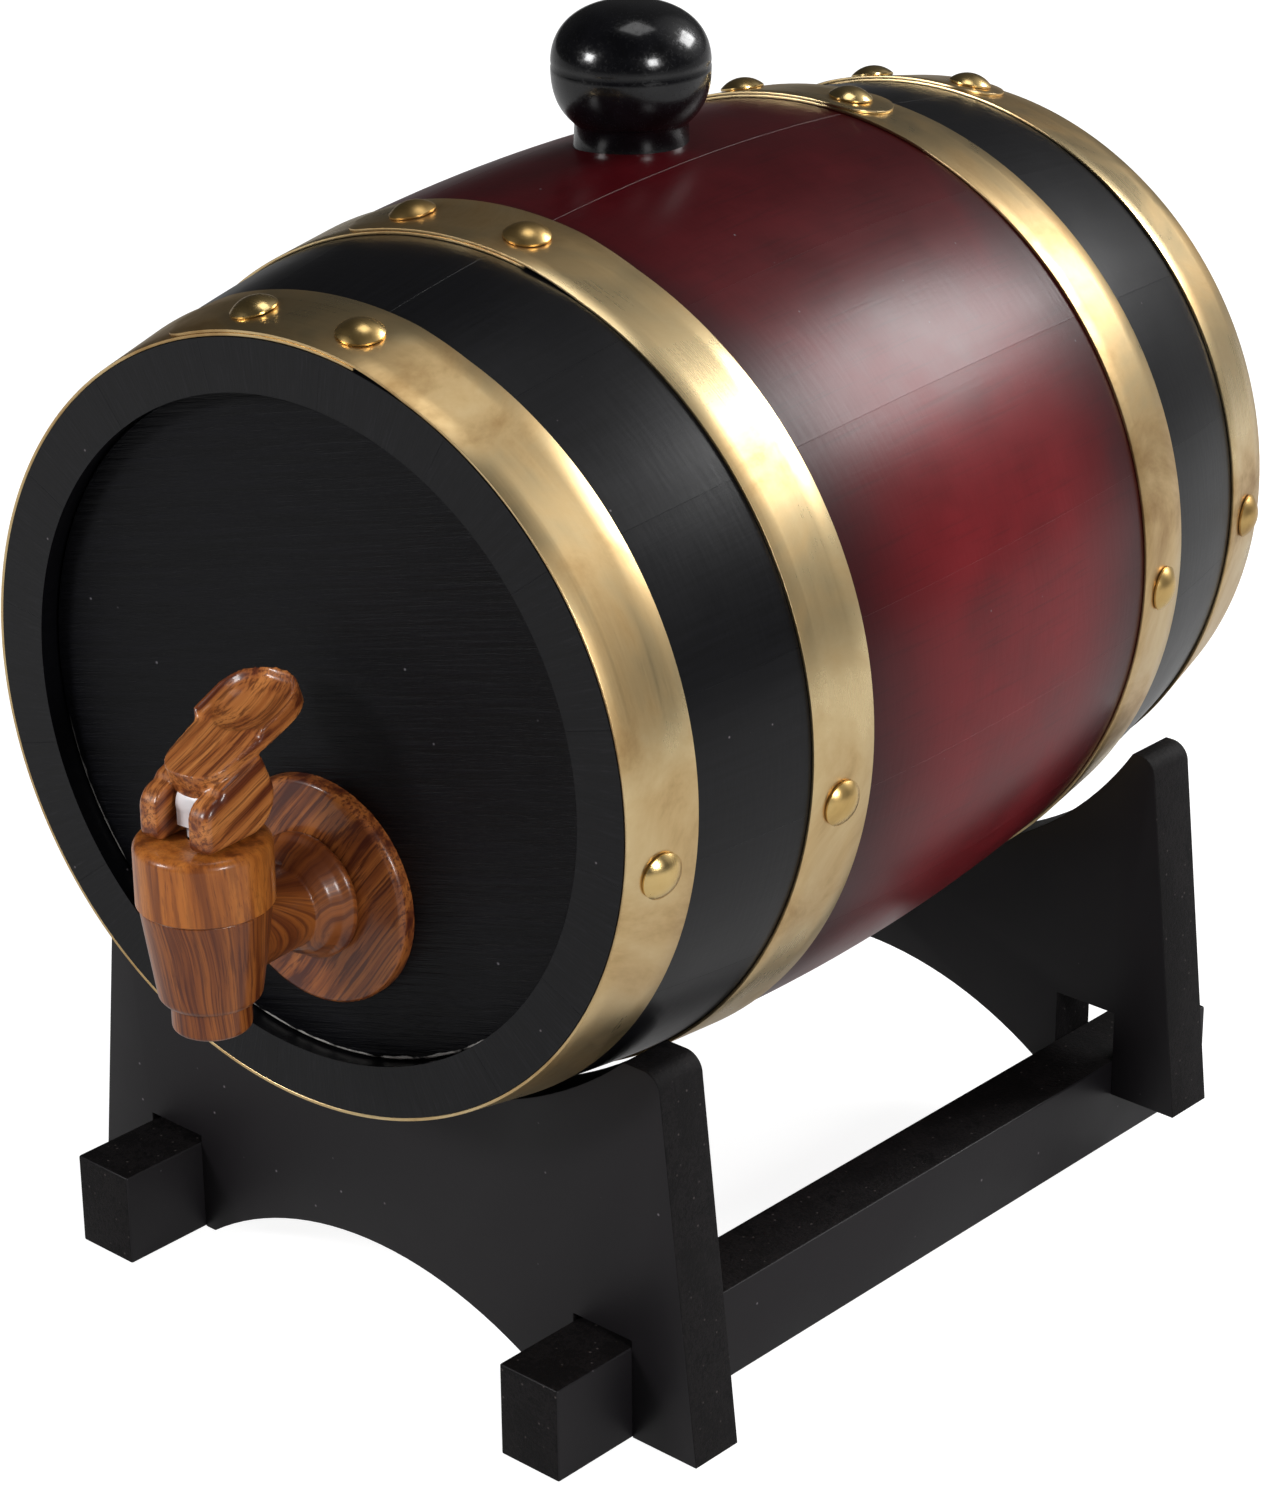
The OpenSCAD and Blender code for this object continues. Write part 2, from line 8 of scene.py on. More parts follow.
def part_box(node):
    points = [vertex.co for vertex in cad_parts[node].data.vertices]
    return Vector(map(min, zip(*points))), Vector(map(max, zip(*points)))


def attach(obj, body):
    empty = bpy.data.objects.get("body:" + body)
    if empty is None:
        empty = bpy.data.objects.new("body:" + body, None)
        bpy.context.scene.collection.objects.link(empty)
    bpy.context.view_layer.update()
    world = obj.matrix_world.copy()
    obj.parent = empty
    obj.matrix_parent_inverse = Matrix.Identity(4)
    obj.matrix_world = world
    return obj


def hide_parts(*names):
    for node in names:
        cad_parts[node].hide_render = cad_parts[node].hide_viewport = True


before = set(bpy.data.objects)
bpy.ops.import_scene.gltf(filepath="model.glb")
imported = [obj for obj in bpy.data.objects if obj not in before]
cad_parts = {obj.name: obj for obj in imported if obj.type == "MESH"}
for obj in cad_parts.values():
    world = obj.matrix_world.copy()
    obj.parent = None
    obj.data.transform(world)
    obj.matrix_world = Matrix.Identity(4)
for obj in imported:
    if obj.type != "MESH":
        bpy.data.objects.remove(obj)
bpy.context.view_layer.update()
MM = 0.001
# in millimetres: the size of a pattern along an axis whose scale stays as it is
METRE = 1000

# ---- Stand boards and rails ----
# Fibreboard sawn to shape and painted satin black. The paint lies smooth on the faces and dries
# rough and speckled on the thirsty sawn edges, whose corners are broken with sandpaper.
BOARD_NODES = ["front_board", "rear_board", "left_rail", "right_rail"]
BROKEN_CORNER = 0.45 * MM
PAINTED_BREAK_ANGLE = 30
FLAT_WITHIN = 0.02
STAND_TURN = math.radians(5)


def paint(hex_colour):
    """An sRGB hex colour as the linear colour that a node takes."""
    values = [int(hex_colour[i:i + 2], 16) / 255 for i in (1, 3, 5)]
    linear = [v / 12.92 if v <= 0.04045 else ((v + 0.055) / 1.055) ** 2.4 for v in values]
    return (*linear, 1.0)


def add(tree, kind, inputs=None, stops=None, **settings):
    """Adds a node, gives it its settings, then sets or links each input."""
    made = tree.nodes.new("ShaderNode" + kind)
    for key, value in settings.items():
        setattr(made, key, value)
    for key, value in (inputs or {}).items():
        if isinstance(value, bpy.types.NodeSocket):
            tree.links.new(value, made.inputs[key])
        else:
            made.inputs[key].default_value = value
    for i, (place, colour) in enumerate(stops or []):
        stop = made.color_ramp.elements[i] if i < 2 else made.color_ramp.elements.new(place)
        stop.position = place
        stop.color = paint(colour) if isinstance(colour, str) else (colour, colour, colour, 1)
    return made


def new_material(name):
    """An empty material whose surface is one Principled shader, and its node tree and shader."""
    made = bpy.data.materials.new(name)
    made.use_nodes = True
    tree = made.node_tree
    return made, tree, tree.nodes["Principled BSDF"]


def centred(tree, place, scale=(1, 1, 1), turn=(0, 0, 0)):
    """Object coordinates measured from a place on the part, turned and then stretched."""
    coords = add(tree, "TexCoord")
    moved = add(tree, "Mapping", {"Vector": coords.outputs["Object"],
                                  "Location": tuple(-c for c in place)})
    return add(tree, "Mapping", {"Vector": moved.outputs[0], "Rotation": turn,
                                 "Scale": scale}).outputs[0]


def per_mm(size):
    """The texture scale whose pattern repeats about every size millimetres."""
    return 1 / (size * MM)


def noise(tree, where, size, detail, rough=0.5, twist=0.0):
    """A noise pattern that repeats about every size millimetres."""
    return add(tree, "TexNoise", {"Vector": where, "Scale": per_mm(size), "Detail": detail,
                                  "Roughness": rough, "Distortion": twist}).outputs["Fac"]


def maths(tree, operation, *values):
    """One sum on up to three values."""
    return add(tree, "Math", dict(enumerate(values)), operation=operation).outputs[0]


def ramp(tree, value, *stops):
    """A colour or a grey that follows a value through the stops."""
    return add(tree, "ValToRGB", {"Fac": value}, stops).outputs[0]


def mixed(tree, amount, below, above, blend="MIX"):
    """One colour laid over another by an amount."""
    return add(tree, "Mix", {0: amount, 6: below, 7: above}, data_type="RGBA",
               blend_type=blend).outputs[2]


def specks(tree, where, size, near, far, below, hex_colour, most=1):
    """Small dots of a colour over another, about size millimetres apart."""
    dots = add(tree, "TexVoronoi", {"Vector": where, "Scale": per_mm(size)})
    amount = ramp(tree, dots.outputs["Distance"], (near, most), (far, 0))
    return mixed(tree, amount, below, paint(hex_colour))


def surface(tree, shader, colour, rough, relief, strength, depth):
    """Gives the shader its colour, its roughness and a relief of a depth in millimetres."""
    bump = add(tree, "Bump", {"Height": relief, "Strength": strength, "Distance": depth * MM})
    tree.links.new(colour, shader.inputs["Base Color"])
    tree.links.new(bump.outputs[0], shader.inputs["Normal"])
    if isinstance(rough, float):
        shader.inputs["Roughness"].default_value = rough
    else:
        tree.links.new(rough, shader.inputs["Roughness"])


def stand_face():
    """Satin paint on a smooth face: even, faintly clouded by handling, with a little dust."""
    made, tree, shader = new_material("satin_black_paint_on_fibreboard")
    where = centred(tree, (0, 0, 0))
    clouds = noise(tree, where, 38, 3)
    tone = ramp(tree, clouds, (0.34, "#100e11"), (0.66, "#171417"))
    colour = specks(tree, where, 7, 0.022, 0.05, tone, "#6d676c")
    sheen = ramp(tree, clouds, (0.35, 0.42), (0.65, 0.54))
    surface(tree, shader, colour, sheen, noise(tree, where, 1.1, 2), 0.12, 0.1)
    shader.inputs["Specular IOR Level"].default_value = 0.3
    return made


def stand_edge():
    """The same paint soaked into sawn fibre: greyer, matt and pitted."""
    made, tree, shader = new_material("black_paint_on_sawn_fibreboard_edge")
    where = centred(tree, (0, 0, 0))
    both = maths(tree, "ADD", noise(tree, where, 0.9, 5, 0.7), noise(tree, where, 9, 3))
    tone = ramp(tree, both, (0.78, "#060506"), (1.22, "#1a1718"), (1.0, "#0d0b0c"))
    colour = specks(tree, where, 2.6, 0.04, 0.12, tone, "#4a4443")
    surface(tree, shader, colour, 0.62, both, 0.7, 0.25)
    shader.inputs["Specular IOR Level"].default_value = 0.15
    return made


FACE_PAINT = stand_face()
EDGE_PAINT = stand_edge()


def use_modifier(piece, kind, **settings):
    """Puts a modifier on a piece and applies it."""
    modifier = piece.modifiers.new(kind, kind)
    for key, value in settings.items():
        setattr(modifier, key, value)
    bpy.context.view_layer.objects.active = piece
    with bpy.context.temp_override(object=piece, active_object=piece, selected_objects=[piece]):
        bpy.ops.object.modifier_apply(modifier=modifier.name)


def alone(piece=None):
    """Selects one piece and nothing else, or nothing at all."""
    bpy.ops.object.select_all(action="DESELECT")
    if piece:
        bpy.context.view_layer.objects.active = piece
        piece.select_set(True)


def edit(piece):
    """Opens one piece in edit mode with all of it selected."""
    alone(piece)
    bpy.ops.object.mode_set(mode="EDIT")
    bpy.ops.mesh.select_all(action="SELECT")


def close_edit():
    """Leaves edit mode with nothing selected."""
    bpy.ops.object.mode_set(mode="OBJECT")
    alone()


def smooth(piece, angle):
    """Shades a piece smooth, but for edges sharper than an angle in degrees."""
    alone(piece)
    bpy.ops.object.shade_smooth_by_angle(angle=math.radians(angle))
    alone()


def taken_from(node, name, corner):
    """A new mesh of a CAD node's own shape with joined faces and small broken corners."""
    piece = bpy.data.objects.new(name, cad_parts[node].data.copy())
    bpy.context.scene.collection.objects.link(piece)
    piece.data.materials.clear()
    edit(piece)
    bpy.ops.mesh.remove_doubles(threshold=0.002 * MM)
    bpy.ops.mesh.dissolve_limited(angle_limit=FLAT_WITHIN)
    bpy.ops.mesh.normals_make_consistent(inside=False)
    close_edit()
    use_modifier(piece, "BEVEL", width=corner, segments=3, limit_method="ANGLE",
                 angle_limit=math.radians(PAINTED_BREAK_ANGLE))
    smooth(piece, 35)
    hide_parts(node)
    return piece


along_stand = Vector((-math.sin(STAND_TURN), math.cos(STAND_TURN), 0))
for node in BOARD_NODES:
    board = taken_from(node, node + "_painted", BROKEN_CORNER)
    board.data.materials.append(FACE_PAINT)
    board.data.materials.append(EDGE_PAINT)
    is_rail = node.endswith("rail")
    for face in board.data.polygons:
        lengthwise = abs(face.normal.dot(along_stand)) > 0.9
        sawn = lengthwise if is_rail else not lengthwise
        face.material_index = 1 if sawn or (is_rail and face.normal.z > 0.9) else 0
    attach(board, "stand")

# ---- Staves ----
# Sixteen oak staves, bent and jointed, their outside sanded smooth and stained burgundy between
# the middle hoops and black towards the ends, under a satin lacquer that lets the grain show.
STAVES = 16
STAVE_TURN = math.tau / STAVES
CASK_AXIS_Z = 0.1375
FRONT_RIM_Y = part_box("front_chime_hoop")[0].y
CASK_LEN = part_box("rear_chime_hoop")[1].y - FRONT_RIM_Y
HALF_LEN = CASK_LEN / 2
MID_Y = FRONT_RIM_Y + HALF_LEN
BILGE_R = 86.5 * MM
END_R = 75 * MM
STAVE_T = 10 * MM
HEAD_INSET = 5 * MM
HEAD_T = 8 * MM
CROZE_W = 4 * MM
CROZE_DEPTH = 3 * MM
JOINT_BREAK = 0.03 * MM
BAND_HALF = 48 * MM
BUNG_ASIDE = 6 * MM
FIRST_TURN = -math.asin(BUNG_ASIDE / BILGE_R)
ARC_R = (HALF_LEN ** 2 + (BILGE_R - END_R) ** 2) / (2 * (BILGE_R - END_R))


def outer_r(along):
    """Radius of the cask's outside at a distance from its middle."""
    return BILGE_R - ARC_R + math.sqrt(ARC_R ** 2 - along ** 2)


def inner_r(along):
    """Radius of the staves' inside at a distance from the middle."""
    return BILGE_R - ARC_R + math.sqrt((ARC_R - STAVE_T) ** 2 - along ** 2)


def profile(name, outline, closed=False):
    """A line of edges through (x, y, z) points, drawn by extruding one vertex."""
    alone()
    bpy.ops.mesh.primitive_plane_add(size=MM, location=(0, 0, 0))
    piece = bpy.context.object
    piece.name = piece.data.name = name
    bpy.ops.object.mode_set(mode="EDIT")
    bpy.ops.mesh.select_all(action="SELECT")
    bpy.ops.mesh.merge(type="CENTER")
    bpy.ops.transform.translate(value=outline[0])
    for here, there in zip(outline, outline[1:]):
        step = Vector(there) - Vector(here)
        bpy.ops.mesh.extrude_vertices_move(TRANSFORM_OT_translate={"value": step})
    if closed:
        bpy.ops.mesh.select_all(action="SELECT")
        bpy.ops.mesh.edge_face_add()
    bpy.ops.object.mode_set(mode="OBJECT")
    return piece


def spun(piece, centre, axis, steps=96, angle=math.tau):
    """Spins a profile about an axis, joins its seam and poles, and turns its faces outwards."""
    edit(piece)
    bpy.ops.mesh.spin(steps=steps, angle=angle, center=centre, axis=axis)
    bpy.ops.mesh.select_all(action="SELECT")
    bpy.ops.mesh.remove_doubles(threshold=0.004 * MM)
    bpy.ops.mesh.normals_make_consistent(inside=False)
    close_edit()
    return piece


def steps_between(low, high, count):
    """Evenly spaced values from low to high."""
    return [low + (high - low) * i / count for i in range(count + 1)]


def stave_outline():
    """One stave's lengthwise section, as (distance from the middle, radius) points."""
    croze_near = HALF_LEN - HEAD_INSET - (HEAD_T - CROZE_W) / 2
    croze_far = croze_near - CROZE_W
    groove = inner_r(croze_near) + CROZE_DEPTH
    inside = [(HALF_LEN, inner_r(HALF_LEN)), (croze_near, inner_r(croze_near)),
              (croze_near, groove), (croze_far, groove), (croze_far, inner_r(croze_far))]
    under = [(y, inner_r(y)) for y in steps_between(croze_far, -croze_far, 24)[1:-1]]
    return ([(y, outer_r(y)) for y in steps_between(-HALF_LEN, HALF_LEN, 44)] + inside + under
            + [(-y, r) for y, r in reversed(inside)])


def ranged(tree, value, low, high, to_low=0.0, to_high=1.0, how="LINEAR"):
    """A value carried from one range to another and held at its ends."""
    return add(tree, "MapRange", {"Value": value, "From Min": low, "From Max": high,
                                  "To Min": to_low, "To Max": to_high},
               interpolation_type=how).outputs[0]


def joined(tree, **axes):
    """A vector put together from values for its axes."""
    return add(tree, "CombineXYZ", axes).outputs[0]


def split(tree, vector):
    """A vector's X, Y and Z."""
    return add(tree, "SeparateXYZ", {"Vector": vector}).outputs


def drawn_noise(tree, where, sizes, detail, rough=0.5):
    """Noise drawn out along each axis to a size of its own in millimetres."""
    drawn = add(tree, "Mapping", {"Vector": where, "Scale": [per_mm(size) for size in sizes]})
    return noise(tree, drawn.outputs[0], METRE, detail, rough)


def stained_oak():
    """Stained oak under satin lacquer: fine long grain, burgundy in the middle, with black
    misted over it towards the hoops, black ends, and saw marks on the end grain."""
    made, tree, shader = new_material("stained_oak_under_satin_lacquer")
    where = centred(tree, (0, MID_Y, CASK_AXIS_Z))
    parts = split(tree, where)
    turn = maths(tree, "ARCTAN2", parts["X"], parts["Z"])
    # round the cask in metres of outside face, so that grain keeps its width everywhere
    girth = maths(tree, "MULTIPLY", turn, BILGE_R)
    sheet = joined(tree, X=girth, Y=parts["Y"])
    # oak pores are about 0.3 mm wide and 8 mm long; they are drawn wider to show
    grain = drawn_noise(tree, sheet, (0.9, 26, METRE), 5, 0.62)
    soak = noise(tree, sheet, 26, 5, 0.62)
    red = ramp(tree, soak, (0.3, "#55070e"), (0.7, "#700f18"))
    dark_line = ramp(tree, grain, (0.34, 0.45), (0.46, 1))
    red = mixed(tree, 0.4, red, dark_line, "MULTIPLY")
    # black was misted over the burgundy towards the hoops; the darkening along the top is partly
    # misted black and partly painted shade, for the top that the side lamps hardly reach
    edge = maths(tree, "ABSOLUTE", parts["Y"])
    away = maths(tree, "ADD", edge, ranged(tree, soak, 0.3, 0.7, -6 * MM, 6 * MM))
    shade = ranged(tree, away, 0.35 * BAND_HALF, 1.1 * BAND_HALF, 0, 0.85, "SMOOTHSTEP")
    # painted shade, in part: the burgundy darkens with height towards the top of the cask
    top = ranged(tree, parts["Z"], 0.5 * BILGE_R, BILGE_R, 0, 0.7, "SMOOTHSTEP")
    shade = maths(tree, "MAXIMUM", shade, top)
    misted = mixed(tree, shade, red, paint("#160104"))
    black = ramp(tree, grain, (0.35, "#070709"), (0.65, "#0d0d10"))
    is_black = ranged(tree, edge, BAND_HALF + 2 * MM, BAND_HALF + 3 * MM)
    colour = mixed(tree, is_black, misted, black)
    # bare oak shows inside, where no stain reached
    across = joined(tree, X=parts["X"], Z=parts["Z"])
    radius = add(tree, "VectorMath", {0: across}, operation="LENGTH").outputs["Value"]
    inside = ranged(tree, radius, END_R - STAVE_T + 9.5 * MM, END_R - STAVE_T + 9 * MM)
    head_at = HALF_LEN - HEAD_INSET
    behind = ranged(tree, edge, head_at - 1.5 * MM, head_at - 2.5 * MM)
    bare = maths(tree, "MULTIPLY", inside, behind)
    colour = mixed(tree, bare, colour, paint("#9c7446"))
    # the saw left fine radial marks on the end grain of the rims
    saw = drawn_noise(tree, joined(tree, X=girth, Y=radius), (0.55, 7, METRE), 4, 0.6)
    on_rim = ranged(tree, edge, HALF_LEN - 0.4 * MM, HALF_LEN - 0.2 * MM)
    mark = maths(tree, "MULTIPLY", ramp(tree, saw, (0.55, 0), (0.75, 0.35)), on_rim)
    colour = mixed(tree, mark, colour, paint("#2a292d"))
    colour = specks(tree, where, 8, 0.018, 0.035, colour, "#6a6468", 0.8)
    ripple = drawn_noise(tree, sheet, (7, 1.3, METRE), 2)
    relief = maths(tree, "MULTIPLY_ADD", grain, 0.8, ripple)
    sawn = maths(tree, "MULTIPLY", saw, on_rim)
    relief = maths(tree, "MULTIPLY_ADD", sawn, 2.0, relief)
    gloss = ramp(tree, soak, (0.35, 0.28), (0.65, 0.33))
    surface(tree, shader, colour, gloss, relief, 0.16, 0.12)
    shader.inputs["Specular IOR Level"].default_value = 0.23
    return made


STAINED_OAK = stained_oak()

# the first stave is a sixteenth of a barrel under the bung; the others are turned copies of it
half_turn = FIRST_TURN - STAVE_TURN / 2
first_stave = profile("bung_stave_oak", [
    (r * math.sin(half_turn), MID_Y + y, CASK_AXIS_Z + r * math.cos(half_turn))
    for y, r in stave_outline()], closed=True)
spun(first_stave, (0, MID_Y, CASK_AXIS_Z), (0, 1, 0), steps=16, angle=STAVE_TURN)
use_modifier(first_stave, "BEVEL", width=JOINT_BREAK, segments=1, limit_method="ANGLE",
             angle_limit=math.radians(40))
first_stave.data.materials.append(STAINED_OAK)
from_axis = Matrix.Translation((0, 0, CASK_AXIS_Z))
to_axis = Matrix.Translation((0, 0, -CASK_AXIS_Z))
for number in range(2, STAVES + 1):
    copy = first_stave.copy()
    copy.data = first_stave.data.copy()
    copy.name = copy.data.name = f"stave_{number:02d}_oak"
    bpy.context.scene.collection.objects.link(copy)
    turned = Matrix.Rotation((number - 1) * STAVE_TURN, 4, "Y")
    copy.data.transform(from_axis @ turned @ to_axis)
    smooth(copy, 25)
    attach(copy, "cask")
    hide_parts(f"stave_{number:02d}")

# The top stave has the filling hole and a small flat around it for the bung's neck.
FLAT_R = 12.2 * MM
HOLE_R = 8.1 * MM
TOOL_RISE = 20 * MM
SEAT_Z = CASK_AXIS_Z + math.sqrt(BILGE_R ** 2 - (BUNG_ASIDE + FLAT_R) ** 2) - 0.2 * MM


def drill(radius, depth, place, turn=(0, 0, 0)):
    """A many-sided round tool about its middle."""
    alone()
    bpy.ops.mesh.primitive_cylinder_add(vertices=96, radius=radius, depth=depth,
                                        location=place, rotation=turn)
    tool = bpy.context.object
    tool.data.transform(tool.matrix_world)
    tool.matrix_world = Matrix.Identity(4)
    return tool


def cutter(radius, low, high):
    """An upright round tool over the bung hole."""
    return drill(radius, high - low, (-BUNG_ASIDE, MID_Y, (low + high) / 2))


def carve(piece, tool, operation="DIFFERENCE"):
    """Cuts or joins a tool with a piece and removes the tool."""
    use_modifier(piece, "BOOLEAN", operation=operation, object=tool, solver="EXACT")
    bpy.data.objects.remove(tool)


carve(first_stave, cutter(FLAT_R, SEAT_Z, SEAT_Z + TOOL_RISE))
carve(first_stave, cutter(HOLE_R, CASK_AXIS_Z + 50 * MM, SEAT_Z + TOOL_RISE))
smooth(first_stave, 25)
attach(first_stave, "cask")
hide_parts("bung_stave")

# ---- Heads ----
# Each head is a turned oak disc whose thinned edge is sprung into the croze, brushed with black
# paint. A broken pale line low along the croze is a painted highlight for the edge's glint.
TAP_DROP = 32 * MM
TAP_Z = CASK_AXIS_Z - TAP_DROP
TAIL_HOLE_R = 8.1 * MM
# radius and half width of the painted highlight line in the corner of the croze
PAINTED_GLINT_R = 65.1 * MM
PAINTED_GLINT_HALF = 0.3 * MM


def black_head():
    """Black paint brushed over oak: straight fine strokes, a satin face and a painted highlight,
    a broken pale line low in the corner of the croze for the glint on its edge."""
    made, tree, shader = new_material("black_paint_brushed_on_oak")
    where = centred(tree, (0, 0, CASK_AXIS_Z), turn=(0, math.radians(14), 0))
    strokes = drawn_noise(tree, where, (24, 20, 0.9), 6, 0.65)
    tone = ramp(tree, strokes, (0.36, "#060608"), (0.62, "#0b0b0f"))
    colour = specks(tree, where, 9, 0.02, 0.04, tone, "#5e5c60")
    flat = add(tree, "Mapping", {"Vector": where, "Scale": (1, 0, 1)}).outputs[0]
    radius = add(tree, "VectorMath", {0: flat}, operation="LENGTH").outputs["Value"]
    # painted highlight: a broken pale line at the croze's corner, low on the head, for the glint
    # on its edge
    low = ranged(tree, split(tree, where)["Z"], 5 * MM, -25 * MM)
    ragged = noise(tree, where, 5, 4)
    line = maths(tree, "ADD", radius, ranged(tree, ragged, 0, 1, -0.7 * MM, 0.7 * MM))
    line = maths(tree, "COMPARE", line, PAINTED_GLINT_R, PAINTED_GLINT_HALF)
    broken = ramp(tree, ragged, (0.40, 0), (0.5, 0.75))
    painted_glint = maths(tree, "MULTIPLY", maths(tree, "MULTIPLY", line, broken), low)
    colour = mixed(tree, painted_glint, colour, paint("#b9b6b2"))
    surface(tree, shader, colour, 0.34, strokes, 0.9, 0.4)
    shader.inputs["Specular IOR Level"].default_value = 0.12
    return made


BLACK_HEAD = black_head()


def head_disc(name, node, face_y, inward):
    """A disc from its outer face inwards, flat up to the staves, with a tongue."""
    mouth = inner_r(HALF_LEN - HEAD_INSET)
    tongue = inner_r(HALF_LEN - HEAD_INSET - 2 * MM) + CROZE_DEPTH
    step = (HEAD_T - CROZE_W) / 2
    outline = [(0.0, 0), (mouth - 0.7 * MM, 0), (mouth - 0.4 * MM, 0.3 * MM),
               (mouth - 0.4 * MM, step), (tongue, step), (tongue, HEAD_T - step),
               (mouth - 1 * MM, HEAD_T - step), (mouth - 4 * MM, HEAD_T), (0.0, HEAD_T)]
    points = [(r, face_y + inward * y, CASK_AXIS_Z) for r, y in outline]
    piece = spun(profile(name, points), (0, MID_Y, CASK_AXIS_Z), (0, 1, 0), steps=128)
    if node == "front_head":
        carve(piece, drill(TAIL_HOLE_R, 4 * HEAD_T, (0, face_y, TAP_Z), (math.pi / 2, 0, 0)))
    smooth(piece, 25)
    piece.data.materials.append(BLACK_HEAD)
    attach(piece, "cask")
    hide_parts(node)


head_disc("front_head_oak", "front_head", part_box("front_head")[0].y, 1)
head_disc("rear_head_oak", "rear_head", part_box("rear_head")[1].y, -1)

# ---- Hoops ----
# Each hoop is one strip of rolled brass, wrapped once around with its rounded outer end lying
# over the inner one at the top. Handling and storage have dulled and spotted the metal.
HOOP_W = 16.5 * MM
HOOP_T = 0.6 * MM
BILGE_HOOP_AT = 45.5 * MM
LAP_UNDER = 13.4
SETTLE = math.radians(9)
STEP_ANGLE = math.radians(1.5)
TIP_COLUMNS = 10
RIM_GAP = 0.15 * MM
STRIP_BREAK = 0.12 * MM
TIP_LEAST = 0.1
LAP_LIFT = HOOP_T * 1.08
# how far the cask's outside bulges past a straight strip of this width
SAG = HOOP_W ** 2 / (8 * ARC_R)
# each hoop's near edge, its lap's middle and its outer end in degrees from the top, and the
# side to which that end points
HOOPS = [("front_chime_hoop", -HALF_LEN + RIM_GAP, -0.4, 24, -1),
         ("front_bilge_hoop", -HALF_LEN + BILGE_HOOP_AT, -0.4, 19, -1),
         ("rear_bilge_hoop", HALF_LEN - BILGE_HOOP_AT - HOOP_W, -4.6, 10.8, 1),
         ("rear_chime_hoop", HALF_LEN - HOOP_W - RIM_GAP, -4.6, 10, 1)]


def rolled_brass(name, light, mid, dark, rough, spots):
    """Brass: an even golden metal, brown where it has tarnished in clouds and fine spots,
    with hairline scratches that run around the cask."""
    made, tree, shader = new_material(name)
    where = centred(tree, (0, MID_Y, CASK_AXIS_Z))
    clouds = noise(tree, where, 30, 6, 0.62, 0.5)
    tone = ramp(tree, clouds, (0.30, dark), (0.45, mid), (0.62, light))
    spray = noise(tree, where, 1.6, 5, 0.75)
    spot = maths(tree, "ADD", spray, noise(tree, where, 20, 2))
    spot = ramp(tree, spot, (1.12, 0), (1.22, spots))
    colour = mixed(tree, spot, tone, paint("#f5dfa8"))
    hair = drawn_noise(tree, where, (30, 0.35, 30), 3)
    dull = ranged(tree, clouds, 0.62, 0.36, rough, rough + 0.14)
    dull = maths(tree, "MULTIPLY_ADD", hair, 0.10, dull)
    relief = maths(tree, "MULTIPLY_ADD", spray, 0.5, hair)
    surface(tree, shader, colour, dull, relief, 0.08, 0.05)
    shader.inputs["Metallic"].default_value = 1.0
    return made


HOOP_BRASS = rolled_brass("rolled_brass_strip", "#e2ca9a", "#d2b482", "#a98757", 0.22, 0.5)


def hoop(name, near, lap_middle, end_turn, side):
    """A flat strip laid round the cask from its rounded outer end to its hidden inner end."""
    lap_turn = math.radians(end_turn + LAP_UNDER - side * lap_middle)
    total = math.tau + lap_turn
    columns = TIP_COLUMNS + round(total / STEP_ANGLE)
    alone()
    bpy.ops.mesh.primitive_grid_add(x_subdivisions=columns, y_subdivisions=4, size=1)
    strip = bpy.context.object
    strip.name = strip.data.name = name + "_brass"
    mean_r = (outer_r(near) + outer_r(near + HOOP_W)) / 2
    tip_turn = HOOP_W / 2 / mean_r
    for vertex in strip.data.vertices:
        # the first columns draw in to a round end as wide as the strip
        column = round((vertex.co.x + 0.5) * columns)
        if column < TIP_COLUMNS:
            round_turn = math.pi / 2 * column / TIP_COLUMNS
            passed = tip_turn * (1 - math.cos(round_turn))
            drawn = max(math.sin(round_turn), TIP_LEAST)
        else:
            share = (column - TIP_COLUMNS) / (columns - TIP_COLUMNS)
            passed = tip_turn + (total - tip_turn) * share
            drawn = 1
        along = near + HOOP_W / 2 + vertex.co.y * HOOP_W * drawn
        lift = min(max((lap_turn + SETTLE - passed) / SETTLE, 0), 1) * LAP_LIFT
        share = (along - near) / HOOP_W
        radius = outer_r(near) * (1 - share) + outer_r(near + HOOP_W) * share + SAG + lift
        turn = side * (math.radians(end_turn) - passed)
        vertex.co = (radius * math.sin(turn), MID_Y + along,
                     CASK_AXIS_Z + radius * math.cos(turn))
    edit(strip)
    bpy.ops.mesh.normals_make_consistent(inside=False)
    close_edit()
    first = strip.data.polygons[0]
    outward = first.center - Vector((0, first.center.y, CASK_AXIS_Z))
    if first.normal.dot(outward) < 0:
        strip.data.flip_normals()
    use_modifier(strip, "SOLIDIFY", thickness=HOOP_T, offset=1.0, use_even_offset=True)
    use_modifier(strip, "BEVEL", width=STRIP_BREAK, segments=2, limit_method="ANGLE",
                 angle_limit=math.radians(40))
    smooth(strip, 40)
    strip.data.materials.append(HOOP_BRASS)
    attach(strip, "cask")
    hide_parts(name)


for hoop_name, near_edge, lap_at, outer_end, lap_side in HOOPS:
    hoop(hoop_name, near_edge, lap_at, outer_end, lap_side)

# ---- Rivets ----
# Domed brass rivets: two through the lap of each hoop and one at each side. They are brighter
# than the strip, because their heads are pressed from polished wire.
RIVET_R = 4.5 * MM
RIVET_H = 2.4 * MM
SKIRT = 0.5 * MM
SHANK_R = 1.5 * MM
SHANK_LEN = 4.5 * MM
LAP_RIVET_TURN = 9.2
SIDE_RIVET_TURN = 97.5
RIVET_BRASS = rolled_brass("polished_brass_dome", "#e6c98c", "#d6b474", "#b5925a", 0.16, 0.15)


